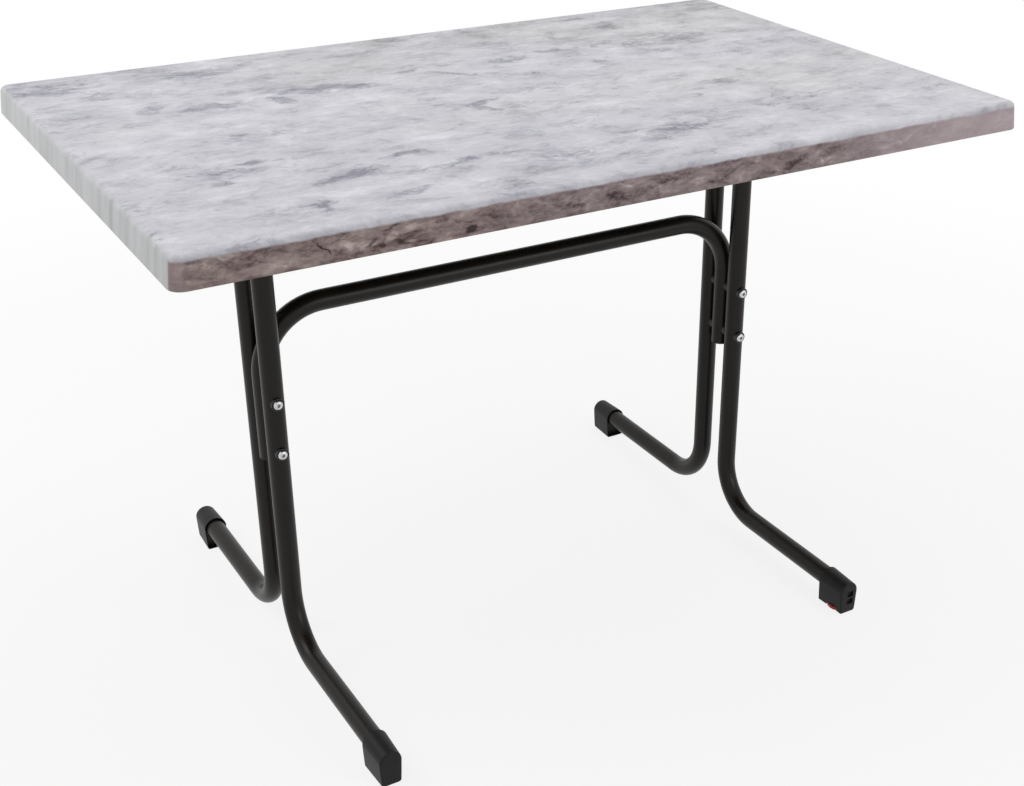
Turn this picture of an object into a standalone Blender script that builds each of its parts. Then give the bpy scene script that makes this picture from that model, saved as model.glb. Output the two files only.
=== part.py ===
"""Garden table: a moulded top on a bolted frame of bent steel tube.

Units are metres and +Z is up. X runs along the long side of the top, Y from the
front (-Y) to the back, and the origin lies on the floor under the middle of the top.
Four C-shaped tubes stand in pairs, back to back. Each pair holds one end of the
crossbar between its uprights, with two bolts that run along Y.
"""
import math

import bmesh
import bpy
from mathutils import Vector

# Clearance left between pieces that touch
FIT_GAP = 0.0003

# Tabletop
TOP_LENGTH = 1.100
TOP_DEPTH = 0.700
TOP_HEIGHT = 0.720
EDGE_THICKNESS = 0.035
RECESS_DEPTH = 0.015
RIM_WIDTH = 0.030
RECESS_SLOPE = 0.006
PLAN_CORNER_RADIUS = 0.016
RECESS_CORNER_RADIUS = 0.010
UPPER_EDGE_ROUNDING = 0.008
LOWER_EDGE_ROUNDING = 0.0015
EDGE_DRAFT = 0.003

# Frame tube
TUBE_RADIUS = 0.0135
TUBE_WALL = 0.0015
TUBE_SPACE = 0.005
LEG_INSET = 0.195
LEG_BEND_RADIUS = 0.073
FOOT_AXIS_HEIGHT = 0.034
FOOT_SETBACK = 0.015
ARM_SETBACK = 0.040

# Crossbar
CROSSBAR_HEIGHT = 0.4935
CROSSBAR_DROP = 0.199
CROSSBAR_BEND_RADIUS = 0.084

# Clamping bolts, with their washers, spacers and sleeve nuts
BOLT_RADIUS = 0.003
BOLT_HEAD_RADIUS = 0.0062
BOLT_HEAD_HEIGHT = 0.0036
BOLT_HEAD_RIM = 0.0009
BOLT_CROWN_RADIUS = 0.0026
BOLT_SOCKET_WIDTH = 0.004
BOLT_SOCKET_DEPTH = 0.002
BOLT_END_SLACK = 0.001
BOLT_END_CHAMFER = 0.0007
LOWER_BOLT_RISE = 0.0235
BOLT_SPACING = 0.070
WASHER_RADIUS = 0.0085
WASHER_THICKNESS = 0.0024
WASHER_DISH_DEPTH = 0.0010
WASHER_RIM = 0.0014
WASHER_CHAMFER = 0.0004
SPACER_RADIUS = 0.0080
SLEEVE_RADIUS = 0.0045
SLEEVE_LENGTH = 0.012
SLEEVE_WEB = 0.0012
SLEEVE_HEAD_RADIUS = 0.0060
SLEEVE_HEAD_THICKNESS = 0.0012
SLEEVE_HEAD_CHAMFER = 0.0005

# Screws that hold the arms under the top
SCREW_RADIUS = 0.0024
SCREW_HEAD_RADIUS = 0.0050
SCREW_HEAD_HEIGHT = 0.0028
SCREW_HEAD_RIM = 0.0011
SCREW_HEAD_ROUNDING = 0.0020
SCREW_POINT_LENGTH = 0.0048
SCREW_POINT_RADIUS = 0.0006
SCREW_BITE = 0.013
SCREW_END_SETBACK = 0.030
SCREW_SPACING = 0.100

# End plugs of the arms
PLUG_FLANGE = 0.003
PLUG_STEM = 0.014
PLUG_EDGE = 0.001
PLUG_LEAD = 0.002

# Foot caps
CAP_LENGTH = 0.047
CAP_LIP = 0.0012
CAP_TAPER = 0.0017
CAP_FLANK_DRAFT = 0.0016
CAP_ROUNDING = 0.0022
CAP_SOLE_ROUNDING = 0.0035
CAP_SOCKET_DEPTH = 0.036
CAP_MOUTH_GAP = 0.0018
CAP_MOUTH_DEPTH = 0.009
CAP_SLOT_WIDTH = 0.0100
CAP_SLOT_HEIGHT = 0.0090
CAP_SLOT_DEPTH = 0.004
CAP_SLOT_OFFSET = 0.0025
CAP_SLOT_HEIGHTS = (0.0185, 0.0302)

# Levelling glide in the front right foot cap
WHEEL_RADIUS = 0.0168
WHEEL_THICKNESS = 0.0046
WHEEL_SETBACK = 0.0197
WHEEL_CHAMFER = 0.0008
WHEEL_TEETH = 18
WHEEL_TOOTH_DEPTH = 0.0006
POCKET_GAP = 0.0004
STEM_RADIUS = 0.004
STEM_LENGTH = 0.0100
STEM_CHAMFER = 0.0006
INSERT_WALL = 0.0014
INSERT_LENGTH = 0.0095
PAD_RADIUS = 0.0100
PAD_THICKNESS = 0.0014
PAD_CHAMFER = 0.0005
PAD_SPIGOT_RADIUS = 0.0040
PAD_SPIGOT_LENGTH = 0.0022

# Facets
SOLE_STEPS = 1
ARCH_STEPS = 2 * (SOLE_STEPS + 1) + 4
TUBE_SIDES = 2 * ARCH_STEPS
BEND_STEPS = 6
SMALL_SIDES = 12
CORNER_STEPS = 6
ROUNDING_STEPS = 3
SMOOTH_ANGLE = math.radians(35)

# Places that follow from the sizes above
LEG_X = TOP_LENGTH / 2 - LEG_INSET
LEG_Y = 2 * TUBE_RADIUS + TUBE_SPACE
TUBE_CROWN = LEG_Y + TUBE_RADIUS
HEAD_SEAT = TUBE_CROWN + WASHER_THICKNESS - WASHER_DISH_DEPTH + 2 * FIT_GAP
SLEEVE_TOP = FIT_GAP + SLEEVE_HEAD_THICKNESS
SLEEVE_BORE_END = SLEEVE_TOP - BOLT_SOCKET_DEPTH - SLEEVE_WEB
BOLT_END = TUBE_CROWN + SLEEVE_BORE_END - BOLT_END_SLACK
FOOT_REACH = TOP_DEPTH / 2 - FOOT_SETBACK
RECESS_CEILING = TOP_HEIGHT - EDGE_THICKNESS + RECESS_DEPTH
ARM_HEIGHT = RECESS_CEILING - FIT_GAP - TUBE_RADIUS
ARM_REACH = TOP_DEPTH / 2 - RIM_WIDTH - RECESS_SLOPE - ARM_SETBACK
SCREW_TRAVEL = 2 * (TUBE_RADIUS + FIT_GAP)
SOCKET_END = FOOT_REACH - CAP_LENGTH + CAP_SOCKET_DEPTH
LOWER_BOLT_HEIGHT = CROSSBAR_HEIGHT - CROSSBAR_DROP + LOWER_BOLT_RISE
BOLT_HEIGHTS = {"lower": LOWER_BOLT_HEIGHT, "upper": LOWER_BOLT_HEIGHT + BOLT_SPACING}
SCREW_REACHES = {
    "outer": ARM_REACH - SCREW_END_SETBACK,
    "inner": ARM_REACH - SCREW_END_SETBACK - SCREW_SPACING,
}
SIDES = {"left": -1, "right": 1}
ENDS = {"front": -1, "rear": 1}
WHEEL_Y = -(FOOT_REACH - WHEEL_SETBACK)
PAD_TOP = FIT_GAP + PAD_THICKNESS
WHEEL_BOTTOM = PAD_TOP + FIT_GAP
WHEEL_TOP = WHEEL_BOTTOM + WHEEL_THICKNESS
POCKET_CEILING = WHEEL_TOP + FIT_GAP
CUTTER_OVERRUN = 0.004


def clear_scene():
    for old in list(bpy.data.objects):
        bpy.data.objects.remove(old, do_unlink=True)


def linear(red, green, blue):
    """Turn an 8-bit display colour into the linear values that a shader takes."""
    def channel(value):
        value = value / 255
        if value <= 0.04045:
            return value / 12.92
        return ((value + 0.055) / 1.055) ** 2.4
    return (channel(red), channel(green), channel(blue), 1.0)


def make_material(name, display_colour, roughness, metallic=0.0):
    material = bpy.data.materials.new(name)
    material.use_nodes = True
    shader = material.node_tree.nodes["Principled BSDF"]
    shader.inputs["Base Color"].default_value = linear(*display_colour)
    shader.inputs["Roughness"].default_value = roughness
    shader.inputs["Metallic"].default_value = metallic
    return material


def decor_material():
    return make_material("stone_decor", (198, 198, 206), 0.45)


def tube_material():
    return make_material("black_coated_tube", (33, 31, 30), 0.38)


def plastic_material():
    return make_material("black_plastic", (42, 42, 43), 0.5)


def spacer_material():
    return make_material("spacer_plastic", (24, 24, 25), 0.55)


def washer_material():
    return make_material("dark_washer", (30, 30, 31), 0.45, 0.3)


def zinc_material():
    return make_material("zinc_steel", (205, 206, 208), 0.28, 1.0)


def brass_material():
    return make_material("brass", (196, 160, 88), 0.35, 1.0)


def red_material():
    return make_material("red_plastic", (176, 22, 44), 0.42)


def lofted_mesh(name, loops, ring=False):
    """Skin a row of point loops of equal length. A ring closes on its first loop,
    and any other row is closed by one flat face at each end."""
    mesh = bpy.data.meshes.new(name)
    work = bmesh.new()
    rows = [[work.verts.new(point) for point in loop] for loop in loops]
    pairs = list(zip(rows, rows[1:]))
    if ring:
        pairs.append((rows[-1], rows[0]))
    for lower, upper in pairs:
        count = len(lower)
        for i in range(count):
            j = (i + 1) % count
            work.faces.new((lower[i], lower[j], upper[j], upper[i]))
    if not ring:
        work.faces.new(list(reversed(rows[0])))
        work.faces.new(rows[-1])
    bmesh.ops.recalc_face_normals(work, faces=work.faces)
    work.to_mesh(mesh)
    work.free()
    mesh.shade_smooth()
    mesh.set_sharp_from_angle(angle=SMOOTH_ANGLE)
    return mesh


def place(name, mesh, material, location=(0, 0, 0), rotation=(0, 0, 0)):
    piece = bpy.data.objects.new(name, mesh)
    bpy.context.collection.objects.link(piece)
    piece.location = location
    piece.rotation_euler = rotation
    if material and not mesh.materials:
        mesh.materials.append(material)
    return piece


def place_cutter(name, mesh, location=(0, 0, 0), rotation=(0, 0, 0)):
    cutter = place(name, mesh, None, location, rotation)
    cutter.hide_render = True
    cutter.display_type = "WIRE"
    return cutter


def cut(piece, cutter):
    modifier = piece.modifiers.new("cut_" + cutter.name, "BOOLEAN")
    modifier.operation = "DIFFERENCE"
    modifier.solver = "EXACT"
    modifier.object = cutter


def circle(radius, height, sides=SMALL_SIDES):
    return [Vector((radius * math.cos(2 * math.pi * i / sides),
                    radius * math.sin(2 * math.pi * i / sides), height))
            for i in range(sides)]


def hexagon(width, height, sides=SMALL_SIDES):
    """Points on a hexagon of a given width across flats, for a multiple of six sides."""
    points = []
    for i in range(sides):
        angle = 2 * math.pi * i / sides
        from_flat = (angle % (math.pi / 3)) - math.pi / 6
        radius = width / 2 / math.cos(from_flat)
        points.append(Vector((radius * math.cos(angle), radius * math.sin(angle), height)))
    return points


def cylinder_mesh(name, radius, low, high, sides=SMALL_SIDES):
    return lofted_mesh(name, [circle(radius, low, sides), circle(radius, high, sides)])


def arc(centre, radius, start, end, steps):
    """Points and unit tangents along an arc in a plane, both ends included."""
    found = []
    for i in range(steps + 1):
        angle = start + (end - start) * i / steps
        point = (centre[0] + radius * math.cos(angle), centre[1] + radius * math.sin(angle))
        turn = 1 if end > start else -1
        found.append((point, (-turn * math.sin(angle), turn * math.cos(angle))))
    return found


def tube_mesh(name, path, lift):
    """Sweep the frame tube along a plane path. Path entries are a point and a tangent,
    and lift turns a plane pair and an offset across the plane into a 3-D point."""
    inner_radius = TUBE_RADIUS - TUBE_WALL

    def skin(radius, entry):
        (across, up), (run_across, run_up) = entry
        loop = []
        for i in range(TUBE_SIDES):
            angle = 2 * math.pi * i / TUBE_SIDES
            side = radius * math.cos(angle)
            offset = radius * math.sin(angle)
            loop.append(lift(across - run_up * side, up + run_across * side, offset))
        return loop

    outer = [skin(TUBE_RADIUS, entry) for entry in path]
    inner = [skin(inner_radius, entry) for entry in reversed(path)]
    return lofted_mesh(name, outer + inner, ring=True)


def leg_mesh(end):
    """One C-shaped tube: foot run, upright and arm, all in the plane of its own X."""
    radius = LEG_BEND_RADIUS
    path = [((SOCKET_END - FIT_GAP, FOOT_AXIS_HEIGHT), (-1, 0))]
    path += arc((LEG_Y + radius, FOOT_AXIS_HEIGHT + radius), radius,
                -math.pi / 2, -math.pi, BEND_STEPS)
    path += arc((LEG_Y + radius, ARM_HEIGHT - radius), radius,
                -math.pi, -1.5 * math.pi, BEND_STEPS)
    path.append(((ARM_REACH, ARM_HEIGHT), (1, 0)))

    def lift(across, up, offset):
        return Vector((offset, end * across, up))

    return tube_mesh("leg", path, lift)


def crossbar_mesh():
    """The inverted U that joins the two pairs of legs, in the plane Y = 0."""
    radius = CROSSBAR_BEND_RADIUS
    bottom = CROSSBAR_HEIGHT - CROSSBAR_DROP
    path = [((-LEG_X, bottom), (0, 1))]
    path += arc((-LEG_X + radius, CROSSBAR_HEIGHT - radius), radius,
                math.pi, math.pi / 2, BEND_STEPS)
    path += arc((LEG_X - radius, CROSSBAR_HEIGHT - radius), radius,
                math.pi / 2, 0, BEND_STEPS)
    path.append(((LEG_X, bottom), (0, -1)))

    def lift(across, up, offset):
        return Vector((across, offset, up))

    return tube_mesh("crossbar", path, lift)


def plan_loop(inset, corner_radius, height):
    """A rounded rectangle, set in from the outline of the top."""
    half_x = TOP_LENGTH / 2 - inset - corner_radius
    half_y = TOP_DEPTH / 2 - inset - corner_radius
    loop = []
    for quarter, (sign_x, sign_y) in enumerate(((1, 1), (-1, 1), (-1, -1), (1, -1))):
        for step in range(CORNER_STEPS + 1):
            angle = (quarter + step / CORNER_STEPS) * math.pi / 2
            loop.append(Vector((sign_x * half_x + corner_radius * math.cos(angle),
                                sign_y * half_y + corner_radius * math.sin(angle), height)))
    return loop


def tabletop_mesh():
    """The moulded top: rounded edges, sides that spread downwards and a recessed underside."""
    bottom = TOP_HEIGHT - EDGE_THICKNESS
    loops = []
    for step in range(ROUNDING_STEPS + 1):
        angle = math.pi / 2 * step / ROUNDING_STEPS
        inset = EDGE_DRAFT + UPPER_EDGE_ROUNDING * (1 - math.sin(angle))
        height = TOP_HEIGHT - UPPER_EDGE_ROUNDING * (1 - math.cos(angle))
        loops.append(plan_loop(inset, PLAN_CORNER_RADIUS - inset, height))
    for step in range(ROUNDING_STEPS + 1):
        angle = math.pi / 2 * step / ROUNDING_STEPS
        inset = LOWER_EDGE_ROUNDING * (1 - math.cos(angle))
        height = bottom + LOWER_EDGE_ROUNDING * (1 - math.sin(angle))
        loops.append(plan_loop(inset, PLAN_CORNER_RADIUS - inset, height))
    loops.append(plan_loop(RIM_WIDTH, RECESS_CORNER_RADIUS, bottom))
    loops.append(plan_loop(RIM_WIDTH + RECESS_SLOPE, RECESS_CORNER_RADIUS, RECESS_CEILING))
    return lofted_mesh("tabletop", loops)


def bolt_mesh():
    """A domed socket-head bolt. Its seat is at zero and its shank runs to +Z."""
    length = HEAD_SEAT + BOLT_END
    loops = [hexagon(BOLT_SOCKET_WIDTH, BOLT_SOCKET_DEPTH - BOLT_HEAD_HEIGHT),
             hexagon(BOLT_SOCKET_WIDTH, -BOLT_HEAD_HEIGHT)]
    for step in range(ROUNDING_STEPS + 1):
        angle = math.pi / 2 * step / ROUNDING_STEPS
        radius = BOLT_CROWN_RADIUS + (BOLT_HEAD_RADIUS - BOLT_CROWN_RADIUS) * math.sin(angle)
        height = -BOLT_HEAD_RIM - (BOLT_HEAD_HEIGHT - BOLT_HEAD_RIM) * math.cos(angle)
        loops.append(circle(radius, height))
    loops += [circle(BOLT_HEAD_RADIUS, 0), circle(BOLT_RADIUS, 0),
              circle(BOLT_RADIUS, length - BOLT_END_CHAMFER),
              circle(BOLT_RADIUS - BOLT_END_CHAMFER, length)]
    return lofted_mesh("bolt", loops)


def saddle_depth(reach):
    """How far the tube's surface lies below its crown at this distance across the tube."""
    seat = TUBE_RADIUS + FIT_GAP
    return seat - math.sqrt(seat ** 2 - reach ** 2)


def saddle_circle(radius):
    """A circle laid over the tube, whose crown is at zero and whose axis lies along Y."""
    return [Vector((point.x, point.y, FIT_GAP - saddle_depth(abs(point.x))))
            for point in circle(radius, 0)]


def sleeve_nut_mesh():
    """A nut with a thin head that sits on the tube's crown, at zero, a drive socket in its
    face and a blind threaded sleeve that reaches down into the tube."""
    bore = BOLT_RADIUS + FIT_GAP
    head = SLEEVE_HEAD_RADIUS
    loops = [hexagon(BOLT_SOCKET_WIDTH, SLEEVE_TOP - BOLT_SOCKET_DEPTH),
             hexagon(BOLT_SOCKET_WIDTH, SLEEVE_TOP),
             circle(head - SLEEVE_HEAD_CHAMFER, SLEEVE_TOP),
             circle(head, SLEEVE_TOP - SLEEVE_HEAD_CHAMFER),
             saddle_circle(head), saddle_circle(SLEEVE_RADIUS),
             circle(SLEEVE_RADIUS, -SLEEVE_LENGTH), circle(bore, -SLEEVE_LENGTH),
             circle(bore, SLEEVE_BORE_END)]
    return lofted_mesh("sleeve_nut", loops)


def dished_washer_mesh():
    """A round washer with a dished face. Zero is the crown of the tube."""
    hole = BOLT_RADIUS + FIT_GAP
    low = FIT_GAP - saddle_depth(WASHER_RADIUS)
    high = FIT_GAP + WASHER_THICKNESS
    floor = high - WASHER_DISH_DEPTH
    rim = WASHER_RADIUS - WASHER_RIM
    loops = [circle(hole, low, TUBE_SIDES), circle(WASHER_RADIUS, low, TUBE_SIDES),
             circle(WASHER_RADIUS, high - WASHER_CHAMFER, TUBE_SIDES),
             circle(WASHER_RADIUS - WASHER_CHAMFER, high, TUBE_SIDES),
             circle(rim, high, TUBE_SIDES), circle(rim - WASHER_CHAMFER, floor, TUBE_SIDES),
             circle(hole, floor, TUBE_SIDES)]
    return lofted_mesh("dished_washer", loops, ring=True)


def spacer_mesh():
    """A spacer between two tubes, hollowed to both of them later."""
    hole = BOLT_RADIUS + FIT_GAP
    half = TUBE_SPACE / 2 - FIT_GAP + saddle_depth(SPACER_RADIUS)
    loops = [circle(hole, -half), circle(SPACER_RADIUS, -half),
             circle(SPACER_RADIUS, half), circle(hole, half)]
    return lofted_mesh("spacer", loops, ring=True)


def screw_mesh():
    """A pan-head screw. Its seat is at zero and its shank runs to +Z."""
    length = SCREW_TRAVEL + SCREW_BITE
    loops = []
    for step in range(ROUNDING_STEPS + 1):
        angle = math.pi / 2 * step / ROUNDING_STEPS
        radius = SCREW_HEAD_RADIUS - SCREW_HEAD_ROUNDING * (1 - math.sin(angle))
        height = -SCREW_HEAD_RIM - (SCREW_HEAD_HEIGHT - SCREW_HEAD_RIM) * math.cos(angle)
        loops.append(circle(radius, height))
    loops += [circle(SCREW_HEAD_RADIUS, 0), circle(SCREW_RADIUS, 0),
              circle(SCREW_RADIUS, length - SCREW_POINT_LENGTH),
              circle(SCREW_POINT_RADIUS, length)]
    return lofted_mesh("screw", loops)


def plug_mesh():
    """An end plug. Its flange sits on the tube's end at zero and its stem runs to -Z."""
    bore = TUBE_RADIUS - TUBE_WALL - FIT_GAP
    loops = [circle(bore - PLUG_EDGE, -PLUG_STEM, TUBE_SIDES),
             circle(bore, PLUG_LEAD - PLUG_STEM, TUBE_SIDES),
             circle(bore, FIT_GAP, TUBE_SIDES), circle(TUBE_RADIUS, FIT_GAP, TUBE_SIDES),
             circle(TUBE_RADIUS, PLUG_FLANGE - PLUG_EDGE, TUBE_SIDES),
             circle(TUBE_RADIUS - PLUG_EDGE, PLUG_FLANGE, TUBE_SIDES)]
    return lofted_mesh("plug", loops)


def cap_section(half_width, sole, reach):
    """The arch of a foot cap: a round top on the tube's axis, flanks that lean in and a flat sole."""
    corner = CAP_SOLE_ROUNDING
    half_sole = half_width - CAP_FLANK_DRAFT
    flank = ((half_width + half_sole) / 2, (FOOT_AXIS_HEIGHT + sole) / 2)
    outline = []
    for step in range(ARCH_STEPS + 1):
        angle = math.pi * step / ARCH_STEPS
        outline.append((half_width * math.cos(angle),
                        FOOT_AXIS_HEIGHT + half_width * math.sin(angle)))
    outline.append((-flank[0], flank[1]))
    for side, start in ((-1, math.pi), (1, 1.5 * math.pi)):
        if side > 0:
            outline.append((0, sole))
        for step in range(SOLE_STEPS + 1):
            angle = start + math.pi / 2 * step / SOLE_STEPS
            outline.append((side * (half_sole - corner) + corner * math.cos(angle),
                            sole + corner + corner * math.sin(angle)))
    outline.append(flank)
    return [Vector((across, reach, up)) for across, up in outline]


def cap_bore(radius, reach):
    """A circle on the tube's axis with as many points as the arch around it."""
    loop = []
    for i in range(TUBE_SIDES):
        angle = 2 * math.pi * i / TUBE_SIDES
        loop.append(Vector((radius * math.cos(angle), reach,
                            FOOT_AXIS_HEIGHT + radius * math.sin(angle))))
    return loop


def foot_cap_mesh():
    """A foot cap for a tube that points to +Y. Its mouth opens towards -Y in a wide hollow
    of the cap's own outline, and the socket that grips the tube lies behind it."""
    mouth_width = TUBE_RADIUS + CAP_MOUTH_GAP + CAP_LIP
    end_width = mouth_width - CAP_TAPER
    mouth = FOOT_REACH - CAP_LENGTH
    hollow_end = mouth + CAP_MOUTH_DEPTH
    loops = []
    for step in range(ROUNDING_STEPS + 1):
        angle = math.pi / 2 * step / ROUNDING_STEPS
        inset = CAP_ROUNDING * (1 - math.sin(angle))
        reach = FOOT_REACH - CAP_ROUNDING * (1 - math.cos(angle))
        loops.append(cap_section(end_width - inset, inset, reach))
    loops.append(cap_section(mouth_width, 0, mouth))
    loops.append(cap_section(mouth_width - CAP_LIP, CAP_LIP, mouth))
    loops.append(cap_section(mouth_width - CAP_LIP, CAP_LIP, hollow_end))
    loops.append(cap_bore(TUBE_RADIUS + FIT_GAP, hollow_end))
    loops.append(cap_bore(TUBE_RADIUS + FIT_GAP, SOCKET_END))
    return lofted_mesh("foot_cap", loops)


def slot_mesh():
    """The cutter of one small slot in the end face of the levelling cap."""
    half_width = CAP_SLOT_WIDTH / 2
    half_height = CAP_SLOT_HEIGHT / 2

    def frame(reach):
        return [Vector((half_width, reach, half_height)), Vector((-half_width, reach, half_height)),
                Vector((-half_width, reach, -half_height)), Vector((half_width, reach, -half_height))]

    return lofted_mesh("slot_cutter", [frame(-CUTTER_OVERRUN), frame(CAP_SLOT_DEPTH)])


def wheel_loop(radius, height, depth=0.0):
    """A circle with a tooth at every second point, cut in by a depth between them."""
    sides = 2 * WHEEL_TEETH
    loop = []
    for i in range(sides):
        angle = 2 * math.pi * i / sides
        reach = radius - depth * (i % 2)
        loop.append(Vector((reach * math.cos(angle), reach * math.sin(angle), height)))
    return loop


def wheel_mesh():
    """The toothed levelling wheel and its threaded stem. Zero is the wheel's underside."""
    hole = PAD_SPIGOT_RADIUS + FIT_GAP
    hole_depth = PAD_SPIGOT_LENGTH + FIT_GAP
    top = WHEEL_THICKNESS
    tooth = WHEEL_TOOTH_DEPTH
    loops = [wheel_loop(hole, hole_depth), wheel_loop(hole, 0),
             wheel_loop(WHEEL_RADIUS - WHEEL_CHAMFER, 0),
             wheel_loop(WHEEL_RADIUS, WHEEL_CHAMFER, tooth),
             wheel_loop(WHEEL_RADIUS, top - WHEEL_CHAMFER, tooth),
             wheel_loop(WHEEL_RADIUS - WHEEL_CHAMFER, top),
             wheel_loop(STEM_RADIUS, top), wheel_loop(STEM_RADIUS, top + STEM_LENGTH - STEM_CHAMFER),
             wheel_loop(STEM_RADIUS - STEM_CHAMFER, top + STEM_LENGTH)]
    return lofted_mesh("levelling_wheel", loops)


def pad_mesh():
    """The glide pad under the wheel. Zero is its sole."""
    loops = [circle(PAD_RADIUS - PAD_CHAMFER, 0, TUBE_SIDES),
             circle(PAD_RADIUS, PAD_CHAMFER, TUBE_SIDES),
             circle(PAD_RADIUS, PAD_THICKNESS, TUBE_SIDES),
             circle(PAD_SPIGOT_RADIUS, PAD_THICKNESS, TUBE_SIDES),
             circle(PAD_SPIGOT_RADIUS, PAD_THICKNESS + FIT_GAP + PAD_SPIGOT_LENGTH, TUBE_SIDES)]
    return lofted_mesh("levelling_pad", loops)


def insert_mesh():
    """The threaded insert that the stem turns in. Zero is its lower face."""
    bore = STEM_RADIUS + FIT_GAP
    loops = [circle(bore, 0), circle(bore + INSERT_WALL, 0),
             circle(bore + INSERT_WALL, INSERT_LENGTH), circle(bore, INSERT_LENGTH)]
    return lofted_mesh("levelling_insert", loops, ring=True)


def add_tabletop(screw_cutters):
    top = place("tabletop", tabletop_mesh(), decor_material())
    for cutter in screw_cutters:
        cut(top, cutter)


def add_screws():
    """The screws, and the cutters of the holes that they pass through."""
    mesh = screw_mesh()
    material = zinc_material()
    seat = ARM_HEIGHT - TUBE_RADIUS - FIT_GAP
    hole = cylinder_mesh("screw_hole", SCREW_RADIUS + FIT_GAP, -CUTTER_OVERRUN,
                         SCREW_TRAVEL + SCREW_BITE + FIT_GAP)
    cutters = {}
    for end_name, end in ENDS.items():
        for side_name, side in SIDES.items():
            for row, reach in SCREW_REACHES.items():
                name = end_name + "_" + side_name + "_" + row + "_screw"
                spot = (side * LEG_X, end * reach, seat)
                place(name, mesh, material, spot)
                cutter = place_cutter(name + "_hole", hole, spot)
                cutters.setdefault((end_name, side_name), []).append(cutter)
    return cutters


def add_hole_cutters(kind, mesh):
    """A cutter at the height of each bolt, with its own axis along Y."""
    cutters = {}
    for side_name, side in SIDES.items():
        for level, height in BOLT_HEIGHTS.items():
            name = side_name + "_" + level + "_" + kind
            cutter = place_cutter(name, mesh, (side * LEG_X, 0, height), (-math.pi / 2, 0, 0))
            cutters.setdefault(side_name, []).append(cutter)
    return cutters


def add_frame(screw_cutters):
    half = TUBE_CROWN + CUTTER_OVERRUN
    hole = cylinder_mesh("bolt_hole", BOLT_RADIUS + FIT_GAP, -half, LEG_Y)
    bolt_cutters = add_hole_cutters("bolt_hole", hole)
    hole = cylinder_mesh("sleeve_hole", SLEEVE_RADIUS + FIT_GAP, LEG_Y, half)
    sleeve_cutters = add_hole_cutters("sleeve_hole", hole)
    material = tube_material()
    for end_name, end in ENDS.items():
        mesh = leg_mesh(end)
        for side_name, side in SIDES.items():
            leg = place(end_name + "_" + side_name + "_leg", mesh, material, (side * LEG_X, 0, 0))
            for cutter in bolt_cutters[side_name] + screw_cutters[(end_name, side_name)]:
                cut(leg, cutter)
            if end_name == "rear":
                for cutter in sleeve_cutters[side_name]:
                    cut(leg, cutter)
    crossbar = place("crossbar", crossbar_mesh(), material)
    for side_name in SIDES:
        for cutter in bolt_cutters[side_name]:
            cut(crossbar, cutter)


def add_tube_envelopes():
    """Upright cutters that hollow the washers and spacers to the tubes."""
    reach = WASHER_RADIUS + CUTTER_OVERRUN
    low = min(BOLT_HEIGHTS.values()) - reach
    high = max(BOLT_HEIGHTS.values()) + reach
    mesh = cylinder_mesh("tube_envelope", TUBE_RADIUS + FIT_GAP, low, high, TUBE_SIDES)
    rows = {"front": -LEG_Y, "middle": 0, "rear": LEG_Y}
    cutters = {}
    for side_name, side in SIDES.items():
        for row, across in rows.items():
            name = side_name + "_" + row + "_tube_envelope"
            cutters[(side_name, row)] = place_cutter(name, mesh, (side * LEG_X, across, 0))
    return cutters


def add_bolts(envelopes):
    """Each bolt runs to +Y through a dished washer and two spacers into a sleeve nut."""
    zinc = zinc_material()
    dark = washer_material()
    plastic = spacer_material()
    bolt = bolt_mesh()
    nut = sleeve_nut_mesh()
    dished = dished_washer_mesh()
    spacer = spacer_mesh()
    to_front = (math.pi / 2, 0, 0)
    to_rear = (-math.pi / 2, 0, 0)
    middle = TUBE_RADIUS + TUBE_SPACE / 2
    for side_name, side in SIDES.items():
        for level, height in BOLT_HEIGHTS.items():
            prefix = side_name + "_" + level + "_"
            x = side * LEG_X
            place(prefix + "bolt", bolt, zinc, (x, -HEAD_SEAT, height), to_rear)
            spot = (x, -TUBE_CROWN, height)
            washer = place(prefix + "dished_washer", dished, dark, spot, to_front)
            cut(washer, envelopes[(side_name, "front")])
            place(prefix + "sleeve_nut", nut, zinc, (x, TUBE_CROWN, height), to_rear)
            for end_name, end in ENDS.items():
                name = prefix + end_name + "_spacer"
                piece = place(name, spacer, plastic, (x, end * middle, height), to_rear)
                cut(piece, envelopes[(side_name, end_name)])
                cut(piece, envelopes[(side_name, "middle")])


def add_plugs():
    mesh = plug_mesh()
    material = plastic_material()
    for end_name, end in ENDS.items():
        for side_name, side in SIDES.items():
            name = end_name + "_" + side_name + "_arm_plug"
            spot = (side * LEG_X, end * ARM_REACH, ARM_HEIGHT)
            place(name, mesh, material, spot, (-end * math.pi / 2, 0, 0))


def add_foot_caps():
    mesh = foot_cap_mesh()
    material = plastic_material()
    for end_name, end in ENDS.items():
        for side_name, side in SIDES.items():
            turn = 0 if end > 0 else math.pi
            name = end_name + "_" + side_name + "_foot_cap"
            cap = place(name, mesh, material, (side * LEG_X, 0, 0), (0, 0, turn))
            if (end_name, side_name) == ("front", "right"):
                cut_levelling_cap(cap)


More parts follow.
